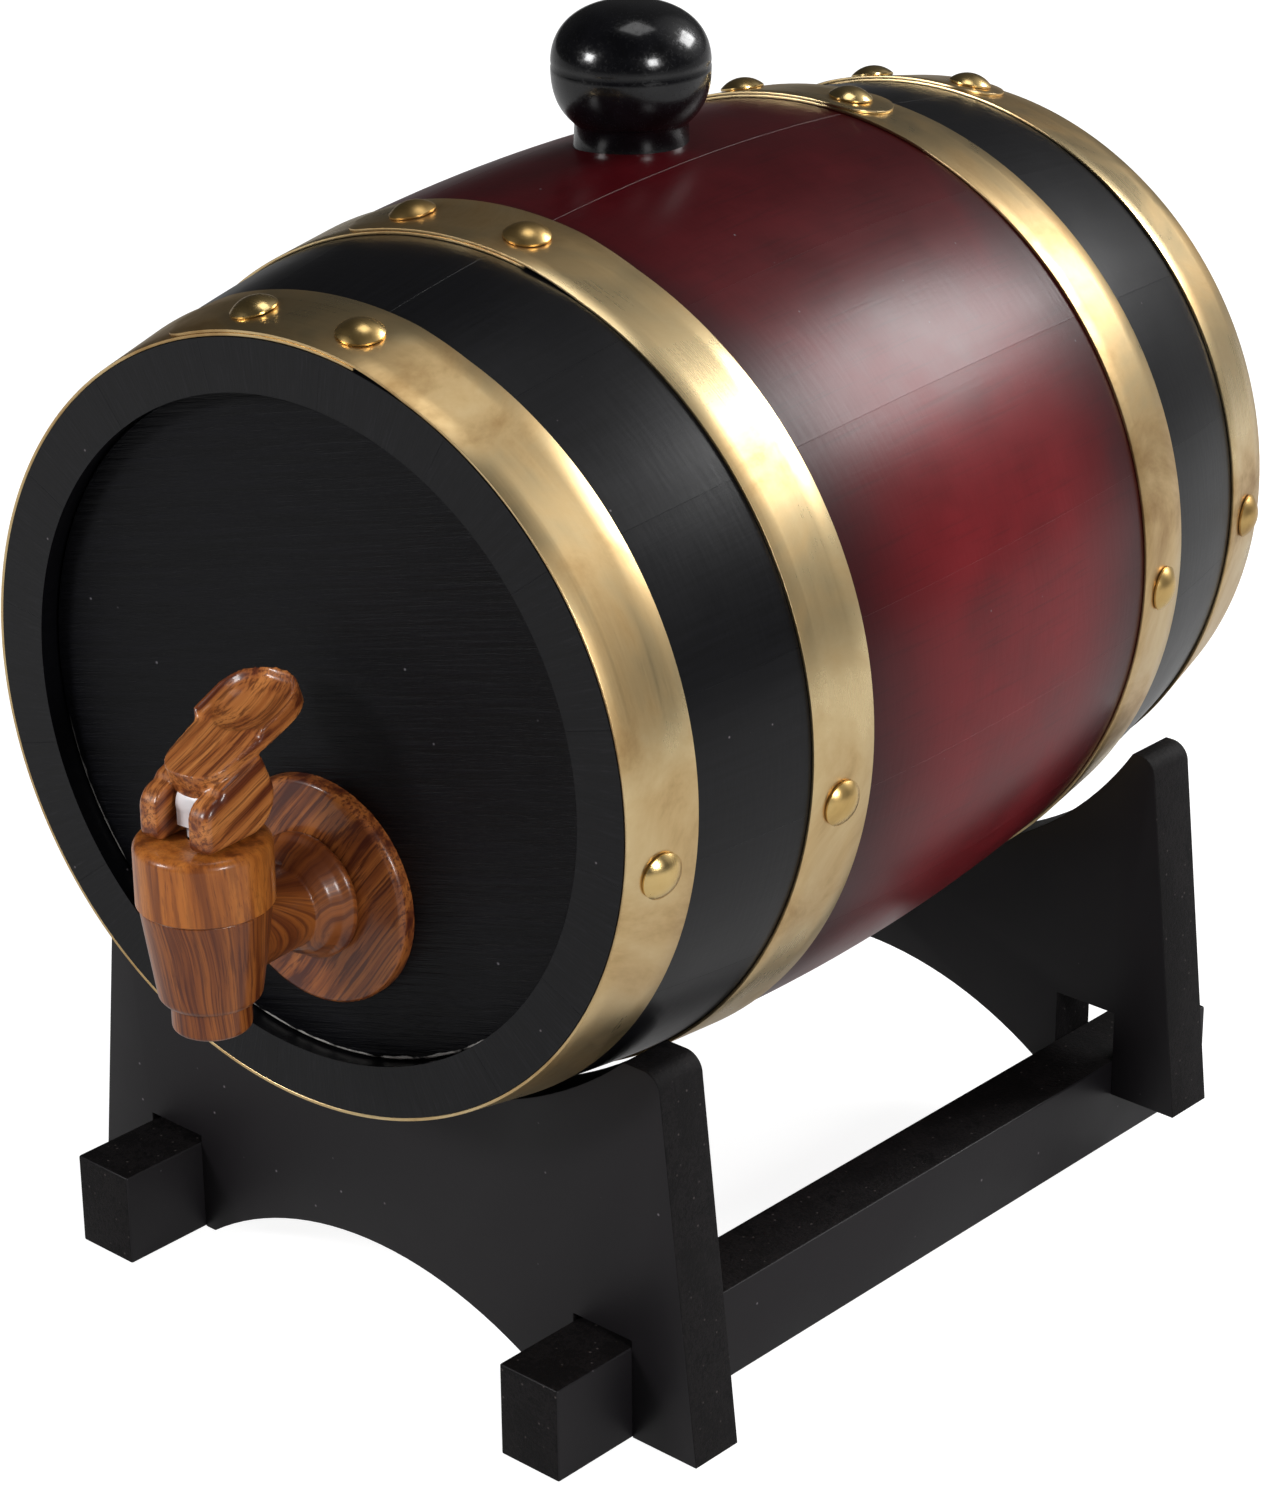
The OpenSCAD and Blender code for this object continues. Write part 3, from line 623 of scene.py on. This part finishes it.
def rivet_outline():
    """Half a rivet in section: shank, flat underside, short skirt and dome."""
    dome_h = RIVET_H - SKIRT
    ball = (RIVET_R ** 2 + dome_h ** 2) / (2 * dome_h)
    lean = math.asin(RIVET_R / ball)
    dome = [(ball * math.sin(a), RIVET_H - ball + ball * math.cos(a))
            for a in steps_between(lean, 0, 12)]
    return [(0, -SHANK_LEN), (SHANK_R, -SHANK_LEN), (SHANK_R, 0), (RIVET_R - 0.15 * MM, 0),
            (RIVET_R, 0.15 * MM), (RIVET_R, SKIRT - 0.1 * MM)] + dome


rivet_master = spun(profile("rivet_master", [(r, 0, z) for r, z in rivet_outline()]),
                    (0, 0, 0), (0, 0, 1), steps=40)
for hoop_name, near_edge, lap_at, outer_end, lap_side in HOOPS:
    middle = near_edge + HOOP_W / 2
    rivets = []
    for degrees in (-LAP_RIVET_TURN, LAP_RIVET_TURN, -SIDE_RIVET_TURN, SIDE_RIVET_TURN):
        one = rivet_master.copy()
        one.data = rivet_master.data.copy()
        bpy.context.scene.collection.objects.link(one)
        layers = 2 if abs(degrees) == LAP_RIVET_TURN else 1
        lift = layers * HOOP_T + SAG
        place = (Matrix.Translation((0, MID_Y, CASK_AXIS_Z))
                 @ Matrix.Rotation(math.radians(lap_at + degrees), 4, "Y")
                 @ Matrix.Translation((0, 0, BILGE_R - ARC_R))
                 @ Matrix.Rotation(-math.asin(middle / ARC_R), 4, "X")
                 @ Matrix.Translation((0, 0, ARC_R + lift)))
        one.data.transform(place)
        rivets.append(one)
    alone(rivets[0])
    for one in rivets:
        one.select_set(True)
    bpy.ops.object.join()
    group = rivets[0]
    node = hoop_name.replace("hoop", "rivets")
    group.name = group.data.name = node + "_brass"
    smooth(group, 35)
    group.data.materials.append(RIVET_BRASS)
    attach(group, "cask")
    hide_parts(node)
bpy.data.objects.remove(rivet_master)

# ---- Bung ----
# A turned knob dipped in glossy black lacquer, with a seam at its widest line and a short neck
# whose foot sits on the stave. A cork sleeve on its spigot fills the hole.
KNOB_R = 15.6 * MM
KNOB_RISE = 12.2 * MM
KNOB_FALL = 11.2 * MM
NECK_R = 11.2 * MM
NECK_H = 5.5 * MM
SPIGOT_R = 4 * MM
SPIGOT_DOWN = 13 * MM
NECK_Z = SEAT_Z + 0.3 * MM
KNOB_Z = NECK_Z + NECK_H + KNOB_FALL


def black_lacquer():
    """Thick glossy lacquer over turned wood, a little uneven, with fine rubbed marks."""
    made, tree, shader = new_material("glossy_black_lacquer_on_turned_wood")
    where = centred(tree, (-BUNG_ASIDE, MID_Y, KNOB_Z))
    runs = noise(tree, where, 6, 3)
    fine = noise(tree, where, 0.8, 4, 0.7)
    tone = ramp(tree, runs, (0.4, "#060608"), (0.6, "#0b0b0e"))
    rub = ramp(tree, fine, (0.45, 0.17), (0.7, 0.34))
    both = maths(tree, "MULTIPLY_ADD", fine, 0.25, runs)
    surface(tree, shader, tone, rub, both, 0.12, 0.4)
    shader.inputs["Coat Weight"].default_value = 0.3
    shader.inputs["Coat Roughness"].default_value = 0.1
    shader.inputs["Specular IOR Level"].default_value = 0.3
    return made


def knob_outline():
    """Half the knob in section, from the spigot's foot up: a full crown, a narrow seam at the
    widest line and an underside that is fuller still, down to the neck."""
    crown = [(KNOB_R * math.cos(a) ** 0.87, KNOB_Z + KNOB_RISE * math.sin(a) ** 0.87)
             for a in steps_between(math.radians(3), math.radians(86), 24)]
    under = [(KNOB_R * (1 - (0.8 * share) ** 2.5) ** 0.4, KNOB_Z - KNOB_FALL * share)
             for share in steps_between(0.94, 0.03, 14)]
    neck = [(SPIGOT_R, NECK_Z - SPIGOT_DOWN), (SPIGOT_R, NECK_Z), (NECK_R + 0.1 * MM, NECK_Z),
            (NECK_R + 0.3 * MM, NECK_Z + 0.6 * MM), (NECK_R + 0.1 * MM, NECK_Z + 1.2 * MM),
            (NECK_R - 0.1 * MM, NECK_Z + NECK_H - 0.2 * MM)]
    return ([(0, NECK_Z - SPIGOT_DOWN)] + neck + under + [(KNOB_R - 0.14 * MM, KNOB_Z)]
            + crown + [(0, KNOB_Z + KNOB_RISE)])


knob = spun(profile("bung_knob_lacquered",
                    [(r - BUNG_ASIDE, MID_Y, z) for r, z in knob_outline()]),
            (-BUNG_ASIDE, MID_Y, 0), (0, 0, 1), steps=96)
smooth(knob, 50)
knob.data.materials.append(black_lacquer())
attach(knob, "bung")
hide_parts("bung_knob")


def cork():
    """Natural cork: warm tan with darker pores and streaks."""
    made, tree, shader = new_material("natural_cork")
    where = centred(tree, (-BUNG_ASIDE, MID_Y, KNOB_Z))
    tone = ramp(tree, noise(tree, where, 3, 5), (0.35, "#8d6238"), (0.5, "#b98a58"),
                (0.7, "#cda273"))
    pores = add(tree, "TexVoronoi", {"Vector": where, "Scale": per_mm(1.8)})
    pores = pores.outputs["Distance"]
    colour = mixed(tree, ramp(tree, pores, (0.12, 1), (0.2, 0)), tone, paint("#5d3c20"))
    surface(tree, shader, colour, 0.85, pores, 0.4, 0.3)
    return made


def dress(node, made):
    """Gives a CAD node a finish of its own."""
    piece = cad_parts[node]
    piece.data.materials.clear()
    piece.data.materials.append(made)


dress("bung_stopper", cork())

# ---- Tap ----
# A lever tap moulded in brown plastic and dipped in a printed wood-grain film, then lacquered.
# The body has a bowl and spout below and a tail through the head; a bonnet snaps over its neck.
TAP_REACH = 26 * MM
TAP_Y = FRONT_RIM_Y - TAP_REACH
HEAD_FACE_Y = FRONT_RIM_Y + HEAD_INSET
BONNET_R = 12.7 * MM
BODY_R = 12.2 * MM
BOWL_R = 9.6 * MM
SPOUT_R = 7.4 * MM
OUTLET_R = 4.8 * MM
BONNET_TOP = 22 * MM
BONNET_UNDER = BONNET_TOP - 3.5 * MM
PARTING = 9.3 * MM
BOWL_DROP = 10 * MM
SPOUT_DROP = 16 * MM
TAIL_R = 8 * MM
CHANNEL_R = 4 * MM
COLLAR_R = 12.5 * MM
COLLAR_OUT = 10.5 * MM
PLATE_R = 22.5 * MM
PLATE_T = 3 * MM
NECK_IN_BONNET_R = 10.2 * MM
CHAMBER_R = 8.4 * MM
VALVE_SEAT = -7 * MM
TAIL_END = 19 * MM
FILM_LEAN = 0.14


# the default colours are the tap body's: its own brown print, darkened in part as painted shade
def wood_grain_film(name, turn, light="#985725", mid="#7c421c", dark="#542612", lines=0.7,
                    wrapped=False):
    """A printed rosewood-like film under clear lacquer: warm brown with soft bands, crowded
    fine dark lines and short pores that run one way, under a high gloss."""
    made, tree, shader = new_material(name)
    where = centred(tree, (0, TAP_Y, TAP_Z), turn=turn)
    if wrapped:
        # the film is drawn round the body, so its lines follow the taper and lean a little
        parts = split(tree, where)
        behind = maths(tree, "MULTIPLY", parts["Y"], -1.0)
        girth = maths(tree, "ARCTAN2", parts["X"], behind)
        girth = maths(tree, "MULTIPLY", girth, BODY_R)
        leaning = maths(tree, "MULTIPLY_ADD", parts["Z"], FILM_LEAN, girth)
        where = joined(tree, X=leaning, Z=parts["Z"])
    bend = add(tree, "TexNoise", {"Vector": where, "Scale": per_mm(24), "Detail": 1.0})
    bent = mixed(tree, 0.004, where, bend.outputs["Color"], "ADD")
    bands = drawn_noise(tree, bent, (3, 3, 90), 3)
    tone = ramp(tree, bands, (0.36, dark), (0.62, light), (0.47, mid))
    fine = drawn_noise(tree, bent, (0.6, 0.6, 40), 5, 0.6)
    colour = mixed(tree, ramp(tree, fine, (0.40, lines), (0.52, 0)), tone, paint("#4a1f12"))
    pores = drawn_noise(tree, bent, (0.35, 0.35, 6), 3, 0.6)
    colour = mixed(tree, ramp(tree, pores, (0.34, 0.35), (0.42, 0)), colour,
                   paint("#452014"))
    surface(tree, shader, colour, 0.36, bands, 0.05, 0.1)
    shader.inputs["Specular IOR Level"].default_value = 0.3
    shader.inputs["Coat Weight"].default_value = 0.3
    shader.inputs["Coat Roughness"].default_value = 0.12
    return made


# the body's film is darker than the bonnet's and the lever's: partly its own browner print,
# partly painted shade for the neck and collar, which the body shades from the lamps
BODY_FILM_WITH_PAINTED_SHADE = wood_grain_film("wood_grain_film_upright_with_painted_shade", (0, 0, 0), wrapped=True)
BONNET_FILM = wood_grain_film("wood_grain_film_plain", (0, math.radians(8), 0),
                              light="#b9702f", mid="#a86025", dark="#7d4219", lines=0.3)
PLATE_FILM = wood_grain_film("wood_grain_film_slanting", (0, math.radians(-38), 0),
                             light="#a5622f", mid="#844822", dark="#4b2216", lines=0.85)
LEVER_FILM = wood_grain_film("wood_grain_film_lengthwise", (math.radians(70), 0, 0),
                             light="#c47d42", mid="#a4602f", dark="#6a341b")


def tap_turned(name, outline, level=True):
    """A turned shape: level ones lie along the tail, the others stand on the body's axis."""
    if level:
        points = [(r, HEAD_FACE_Y + y, TAP_Z) for r, y in outline]
        return spun(profile(name, points), (0, 0, TAP_Z), (0, 1, 0))
    points = [(r, TAP_Y, TAP_Z + z) for r, z in outline]
    return spun(profile(name, points), (0, TAP_Y, 0), (0, 0, 1))


def quarter(centre, radius, start, end, count=6):
    """Points on a round corner, with angles in degrees from outwards to up."""
    return [(centre[0] + radius * math.cos(math.radians(a)),
             centre[1] + radius * math.sin(math.radians(a)))
            for a in steps_between(start, end, count)]


def remeshed(piece, voxel, rounds):
    """Melts joined shapes into one skin and softens its corners as a mould does."""
    use_modifier(piece, "REMESH", mode="VOXEL", voxel_size=voxel, adaptivity=0.0)
    use_modifier(piece, "SMOOTH", factor=0.5, iterations=rounds)
    smooth(piece, 60)


BODY_Y = TAP_Y - HEAD_FACE_Y
BODY_VOXEL = 0.32 * MM
body = tap_turned("tap_body_moulded", [
    (0, -SPOUT_DROP), (SPOUT_R - 0.6 * MM, -SPOUT_DROP),
    (SPOUT_R, -SPOUT_DROP + 0.6 * MM), (SPOUT_R, -BOWL_DROP),
    (BOWL_R - 0.8 * MM, -BOWL_DROP), (BOWL_R, -BOWL_DROP + 1.0 * MM),
    (BODY_R, PARTING), (NECK_IN_BONNET_R, PARTING), (NECK_IN_BONNET_R, BONNET_UNDER),
    (0, BONNET_UNDER)], level=False)
tail = tap_turned("tail_tool", [
    (0, BODY_Y), (TAIL_R, BODY_Y), (TAIL_R, -COLLAR_OUT - 0.5 * MM),
    (TAIL_R - 0.5 * MM, -COLLAR_OUT), (TAIL_R + 0.7 * MM, -COLLAR_OUT + 0.1 * MM),
    (TAIL_R + 2.2 * MM, -COLLAR_OUT + 1.8 * MM), (COLLAR_R - 1.3 * MM, -PLATE_T - 3.4 * MM)]
    + quarter((COLLAR_R - 1.2 * MM, -PLATE_T - 1.6 * MM), 1.2 * MM, -50, 50)
    + [(COLLAR_R - 1.2 * MM, -PLATE_T), (TAIL_R, -PLATE_T), (TAIL_R, TAIL_END - 0.6 * MM),
       (TAIL_R - 0.6 * MM, TAIL_END), (0, TAIL_END)])
carve(body, tail, "UNION")
chamber = tap_turned("chamber_tool", [(0, VALVE_SEAT), (CHAMBER_R, VALVE_SEAT),
                                      (CHAMBER_R, 30 * MM), (0, 30 * MM)], level=False)
carve(body, chamber)
outlet = tap_turned("outlet_tool", [(0, -30 * MM), (OUTLET_R, -30 * MM), (OUTLET_R, 0),
                                    (0, 0)], level=False)
carve(body, outlet)
channel = tap_turned("channel_tool", [(0, BODY_Y), (CHANNEL_R, BODY_Y),
                                      (CHANNEL_R, 40 * MM), (0, 40 * MM)])
carve(body, channel)
remeshed(body, BODY_VOXEL, 3)
body.data.materials.append(BODY_FILM_WITH_PAINTED_SHADE)
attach(body, "cask")
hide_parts("tap_body")

# The bonnet: a cap with a rounded shoulder and a hole for the stem; the lever's heels bear on
# its top.
STEM_HOLE_R = 2.6 * MM
SHOULDER = 1.9 * MM
bonnet = tap_turned("tap_bonnet_moulded", [
    (NECK_IN_BONNET_R, PARTING), (BONNET_R - 0.3 * MM, PARTING),
    (BONNET_R, PARTING + 0.3 * MM)]
    + quarter((BONNET_R - SHOULDER, BONNET_TOP - SHOULDER), SHOULDER, 0, 90)
    + [(STEM_HOLE_R + 0.3 * MM, BONNET_TOP), (STEM_HOLE_R, BONNET_TOP - 0.3 * MM),
       (STEM_HOLE_R, BONNET_UNDER), (NECK_IN_BONNET_R, BONNET_UNDER),
       (NECK_IN_BONNET_R, PARTING)], level=False)
smooth(bonnet, 40)
bonnet.data.materials.append(BONNET_FILM)
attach(bonnet, "cask")
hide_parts("tap_bonnet")

# The escutcheon: a thin plate with a rounded edge under the collar, tight against the head.
plate = tap_turned("escutcheon_moulded", [(TAIL_R + 0.1 * MM, -PLATE_T),
                                          (PLATE_R - 2.6 * MM, -PLATE_T)]
                   + quarter((PLATE_R - 1.4 * MM, -PLATE_T + 1.4 * MM), 1.4 * MM, -85, 0)
                   + [(PLATE_R, 0), (TAIL_R + 0.1 * MM, 0), (TAIL_R + 0.1 * MM, -PLATE_T)])
smooth(plate, 35)
plate.data.materials.append(PLATE_FILM)
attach(plate, "cask")
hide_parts("escutcheon")

# ---- Lever ----
# One moulding: two rounded cheeks that straddle the stem, and a paddle that slopes up and back
# to a wide end with a thumb dish. Its heels ride on the bonnet and lift the stem. Lengths are
# measured from the cross pin, along Y and Z.
HEEL_R = 6.5 * MM
HEEL_OFFSET = 4.5 * MM
CHEEK_SPAN = 17 * MM
CHEEK_GAP = 6 * MM
PADDLE_LEN = 30 * MM
PADDLE_T = 4 * MM
PADDLE_SLOPE = math.radians(21)
FRONT_HALF = 6.6 * MM
WAIST_HALF = 8.0 * MM
BACK_HALF = 8.7 * MM
FRONT_GAP = 7.8 * MM
CHEEK_ROUND = 1.6 * MM
LIP_ROUND = 5.5 * MM
END_ROUND = 9 * MM
BOWL_HALF = 7.6 * MM
BOWL_REACH = 9 * MM
BOWL_DEPTH = 2.1 * MM
BOWL_AT = 0.73 * PADDLE_LEN
RIM_RISE = 0.9 * MM
LEVER_VOXEL = 0.26 * MM
PIN_Z = TAP_Z + BONNET_TOP + 0.3 * MM + HEEL_R
LIP_Y = -PADDLE_T - 1 * MM
LIP_Z = HEEL_R - 3.6 * MM


def cheek_outline():
    """One cheek from the side, about the pin: heel, nose and web, as (y, z) points."""
    heel = quarter((HEEL_OFFSET, 0), HEEL_R, -90, 25, 12)
    nose = (quarter((-3.2 * MM, -0.8 * MM), 4.4 * MM, 95, 180, 10)
            + quarter((-6.0 * MM, -4.8 * MM), 1.6 * MM, 180, 270, 4))
    web_back = HEEL_OFFSET + HEEL_R - 3.2 * MM
    rise = math.tan(PADDLE_SLOPE)
    top = [(web_back, LIP_Z + (web_back - LIP_Y) * rise + 1 * MM),
           (0, LIP_Z - LIP_Y * rise + 1 * MM), (-2.5 * MM, LIP_Z + 2 * MM)]
    return heel + top + nose


def block(name, outline, low_x, high_x):
    """A flat (y, z) outline pushed out sideways from low_x to high_x."""
    points = [(low_x, TAP_Y + y, PIN_Z + z) for y, z in outline]
    piece = profile(name, points, closed=True)
    edit(piece)
    bpy.ops.mesh.remove_doubles(threshold=0.01 * MM)
    bpy.ops.mesh.select_all(action="SELECT")
    bpy.ops.mesh.extrude_region_move(TRANSFORM_OT_translate={"value": (high_x - low_x, 0, 0)})
    bpy.ops.mesh.select_all(action="SELECT")
    bpy.ops.mesh.normals_make_consistent(inside=False)
    close_edit()
    return piece


def eased(value, low, high):
    """A soft step from 0 at low to 1 at high."""
    share = min(max((value - low) / (high - low), 0), 1)
    return share * share * (3 - 2 * share)


def paddle():
    """The paddle: narrow and round at the lip, then a step out on its left to a round spoon
    with a raised rim at its back end."""
    alone()
    bpy.ops.mesh.primitive_grid_add(x_subdivisions=56, y_subdivisions=96, size=1)
    slab = bpy.context.object
    slab.name = slab.data.name = "paddle_tool"
    spots = []
    for vertex in slab.data.vertices:
        run = (vertex.co.y + 0.5) * PADDLE_LEN
        spoon = eased(run, 0.44 * PADDLE_LEN, 0.5 * PADDLE_LEN)
        half = FRONT_HALF + (WAIST_HALF - FRONT_HALF) * min(2 * run / PADDLE_LEN, 1)
        half += (BACK_HALF - WAIST_HALF) * spoon
        if vertex.co.x > 0:
            half = FRONT_HALF + (BACK_HALF - FRONT_HALF) * eased(run, 0, 0.7 * PADDLE_LEN)
        for end_gap, end_r in ((run, LIP_ROUND), (PADDLE_LEN - run, END_ROUND)):
            if end_gap < end_r:
                corner = end_r * (1 - math.sqrt(max(1 - (1 - end_gap / end_r) ** 2, 0)))
                half -= min(corner, half * 0.86)
        to_edge = min((0.5 - abs(vertex.co.x)) * 2 * half, PADDLE_LEN - run)
        spots.append((run, spoon, to_edge))
        vertex.co = (vertex.co.x * 2 * half, run, 0)
    count = len(spots)
    use_modifier(slab, "SOLIDIFY", thickness=PADDLE_T, offset=-1.0)
    for number, vertex in enumerate(slab.data.vertices):
        run, spoon, to_edge = spots[number % count]
        x, along, z = vertex.co
        if z > -0.5 * PADDLE_T:
            bowl = math.hypot(x / BOWL_HALF, (along - BOWL_AT) / BOWL_REACH)
            z -= BOWL_DEPTH * max(1 - bowl ** 2, 0) ** 0.7
            z += RIM_RISE * spoon * (1 - eased(to_edge, 0.6 * MM, 1.9 * MM))
            z -= 0.5 * MM * (x / FRONT_HALF) ** 2 * (1 - spoon)
        else:
            z += 1.2 * MM * (x / BACK_HALF) ** 2
            z -= 2.0 * MM * (1 - eased(run, 0.5 * MM, 4 * MM))
        vertex.co.z = z
    slab.data.transform(Matrix.Translation((0, TAP_Y + LIP_Y, PIN_Z + LIP_Z + PADDLE_T))
                        @ Matrix.Rotation(PADDLE_SLOPE, 4, "X"))
    return slab


lever = block("tap_lever_moulded", cheek_outline(), -CHEEK_SPAN / 2, CHEEK_SPAN / 2)
use_modifier(lever, "BEVEL", width=CHEEK_ROUND, segments=5, limit_method="ANGLE",
             angle_limit=math.radians(50))
slot_points = [(-20 * MM, -9 * MM), (20 * MM, -9 * MM), (20 * MM, 3.9 * MM),
               (4 * MM, 3.9 * MM), (1 * MM, 7 * MM), (-20 * MM, 7 * MM)]
carve(lever, block("slot_tool", slot_points, -CHEEK_GAP / 2, CHEEK_GAP / 2))
mouth_points = [(-20 * MM, -9 * MM), (-1 * MM, -9 * MM), (-1 * MM, 7 * MM), (-20 * MM, 7 * MM)]
carve(lever, block("mouth_tool", mouth_points, -FRONT_GAP / 2, FRONT_GAP / 2))
carve(lever, paddle(), "UNION")
remeshed(lever, LEVER_VOXEL, 7)
lever.data.materials.append(LEVER_FILM)
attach(lever, "lever")
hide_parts("tap_lever")

# ---- Stem, pin and inner fittings ----
# White acetal stem with a soft cup at its foot, a plain steel pin, and the nut and washer that
# hold the tail inside the cask.


def plain_moulding(name, colour, rough):
    """An evenly coloured moulded part with the faint unevenness of a moulded surface."""
    made, tree, shader = new_material(name)
    where = centred(tree, (0, TAP_Y, TAP_Z))
    cloud = noise(tree, where, 4, 3)
    dim = ranged(tree, cloud, 0, 1, 0.96, 1.0)
    shade = mixed(tree, 1.0, paint(colour), dim, "MULTIPLY")
    surface(tree, shader, shade, rough, cloud, 0.1, 0.1)
    return made


stem = taken_from("tap_stem", "tap_stem_acetal", 0.2 * MM)
HEAD_OF_STEM = [(-3.3 * MM, -4.2 * MM), (3.3 * MM, -4.2 * MM), (3.3 * MM, 1.2 * MM),
                (-3.3 * MM, 1.2 * MM)]
carve(stem, block("stem_head_tool", HEAD_OF_STEM, -2.8 * MM, 2.8 * MM), "UNION")
smooth(stem, 35)
stem.data.materials.append(plain_moulding("white_acetal", "#f1eef1", 0.32))
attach(stem, "stem")
dress("seat_cup", plain_moulding("pale_silicone", "#e6e2da", 0.55))
dress("tail_washer", plain_moulding("pale_silicone_washer", "#e6e2da", 0.55))
dress("tail_nut", plain_moulding("brown_moulded_plastic", "#7d4a22", 0.35))


def drawn_steel():
    """Plain drawn steel: neutral, with fine lines along the pin."""
    made, tree, shader = new_material("drawn_steel_pin")
    where = centred(tree, (0, TAP_Y, PIN_Z), (per_mm(6), per_mm(0.2), per_mm(0.2)))
    rough = ranged(tree, noise(tree, where, METRE, 2), 0, 1, 0.22, 0.4)
    tree.links.new(rough, shader.inputs["Roughness"])
    shader.inputs["Base Color"].default_value = paint("#c4c4c8")
    shader.inputs["Metallic"].default_value = 1.0
    return made


dress("lever_pin", drawn_steel())

# ---- Studio ----
# A pale floor under soft lamps: a softbox behind on the right, which lights the hoops, a
# smaller one in front on each side, and a dim one above.
CAMERA_AT = (465.8 * MM, -597.2 * MM, 434.4 * MM)
CAMERA_AZIMUTH = 37.53
CAMERA_ELEVATION = 23.57
CAMERA_ROLL = -0.59
FOCAL_PX = 4099
PHOTO_H = 1489
SENSOR_H = 24

camera_data = bpy.data.cameras.new("camera")
camera_data.sensor_fit = "VERTICAL"
camera_data.sensor_height = SENSOR_H
camera_data.lens = SENSOR_H * FOCAL_PX / PHOTO_H
camera_data.clip_start = 0.05
camera_data.clip_end = 50
camera = bpy.data.objects.new("camera", camera_data)
bpy.context.scene.collection.objects.link(camera)
look = Euler((math.radians(90 - CAMERA_ELEVATION), 0, math.radians(CAMERA_AZIMUTH)))
turned = look.to_matrix().to_4x4() @ Matrix.Rotation(math.radians(CAMERA_ROLL), 4, "Z")
camera.matrix_world = Matrix.Translation(CAMERA_AT) @ turned
bpy.context.scene.camera = camera

AIM = Vector((0, MID_Y, 0.12))


def softbox(name, azimuth, elevation, distance, size, power):
    """A flat lamp that faces the cask, its distance and size in metres and its power in
    watts. Azimuth is from +X towards +Y, in degrees."""
    data = bpy.data.lights.new(name, "AREA")
    data.shape = "RECTANGLE"
    data.size, data.size_y = size
    data.energy = power
    lamp = bpy.data.objects.new(name, data)
    bpy.context.scene.collection.objects.link(lamp)
    a, e = math.radians(azimuth), math.radians(elevation)
    away = Vector((math.cos(a) * math.cos(e), math.sin(a) * math.cos(e), math.sin(e)))
    place = AIM + away * distance
    lamp.matrix_world = (Matrix.Translation(place)
                         @ away.to_track_quat("Z", "Y").to_matrix().to_4x4())


# the lamp behind makes the sheen on the staves and hoops; the front ones light the head
softbox("rear_right_softbox", 60, 33, 1.3, (0.5, 0.4), 10)
softbox("front_right_softbox", -20, 22, 1.4, (0.3, 0.3), 9)
softbox("front_left_softbox", -118, 24, 1.4, (0.3, 0.3), 9)
softbox("top_softbox", 90, 82, 1.3, (0.5, 0.5), 2)


def pale_floor():
    """A seamless white sheet: it shows almost white to the eye and dimmer in shiny faces, and
    still darkens a little where the cask shades it."""
    made, tree, shader = new_material("seamless_white_sheet")
    shader.inputs["Base Color"].default_value = (0.42, 0.42, 0.42, 1)
    shader.inputs["Roughness"].default_value = 0.9
    shader.inputs["Specular IOR Level"].default_value = 0.0
    path = add(tree, "LightPath").outputs
    mirrored = maths(tree, "MAXIMUM", path["Is Glossy Ray"], path["Is Transmission Ray"])
    mirrored = maths(tree, "MULTIPLY", mirrored, 0.26)
    glow = maths(tree, "MULTIPLY_ADD", path["Is Camera Ray"], 0.9, mirrored)
    light = add(tree, "Emission", {"Color": (1, 1, 1, 1), "Strength": glow})
    both = add(tree, "AddShader", {0: shader.outputs[0], 1: light.outputs[0]})
    tree.links.new(both.outputs[0], tree.nodes["Material Output"].inputs["Surface"])
    return made


alone()
bpy.ops.mesh.primitive_plane_add(size=14, location=(0, 0, -0.0002))
floor = bpy.context.object
floor.name = "studio_floor"
floor.data.materials.append(pale_floor())

world = bpy.data.worlds.new("studio")
world.use_nodes = True
bpy.context.scene.world = world
sky = world.node_tree
back = sky.nodes["Background"]
path = add(sky, "LightPath").outputs
seen = maths(sky, "MAXIMUM", path["Is Camera Ray"], path["Is Glossy Ray"])
seen = maths(sky, "MAXIMUM", seen, path["Is Transmission Ray"])
# the white backdrop stands behind on the right; the rest of the room is dim
where = add(sky, "TexCoord").outputs["Generated"]
BACKDROP = (0.42, 0.75, 0.51)
facing = add(sky, "VectorMath", {0: where, 1: BACKDROP}, operation="DOT_PRODUCT")
room = ramp(sky, facing.outputs["Value"], (0.3, 0.03), (0.98, 0.8), (0.78, 0.08), (0.92, 0.4))
dome = ramp(sky, split(sky, where)["Z"], (0.0, 0.7), (0.55, 0.12))
sky.links.new(mixed(sky, seen, dome, room), back.inputs["Color"])
back.inputs["Strength"].default_value = 1.0

scene = bpy.context.scene
scene.view_settings.view_transform = "Standard"
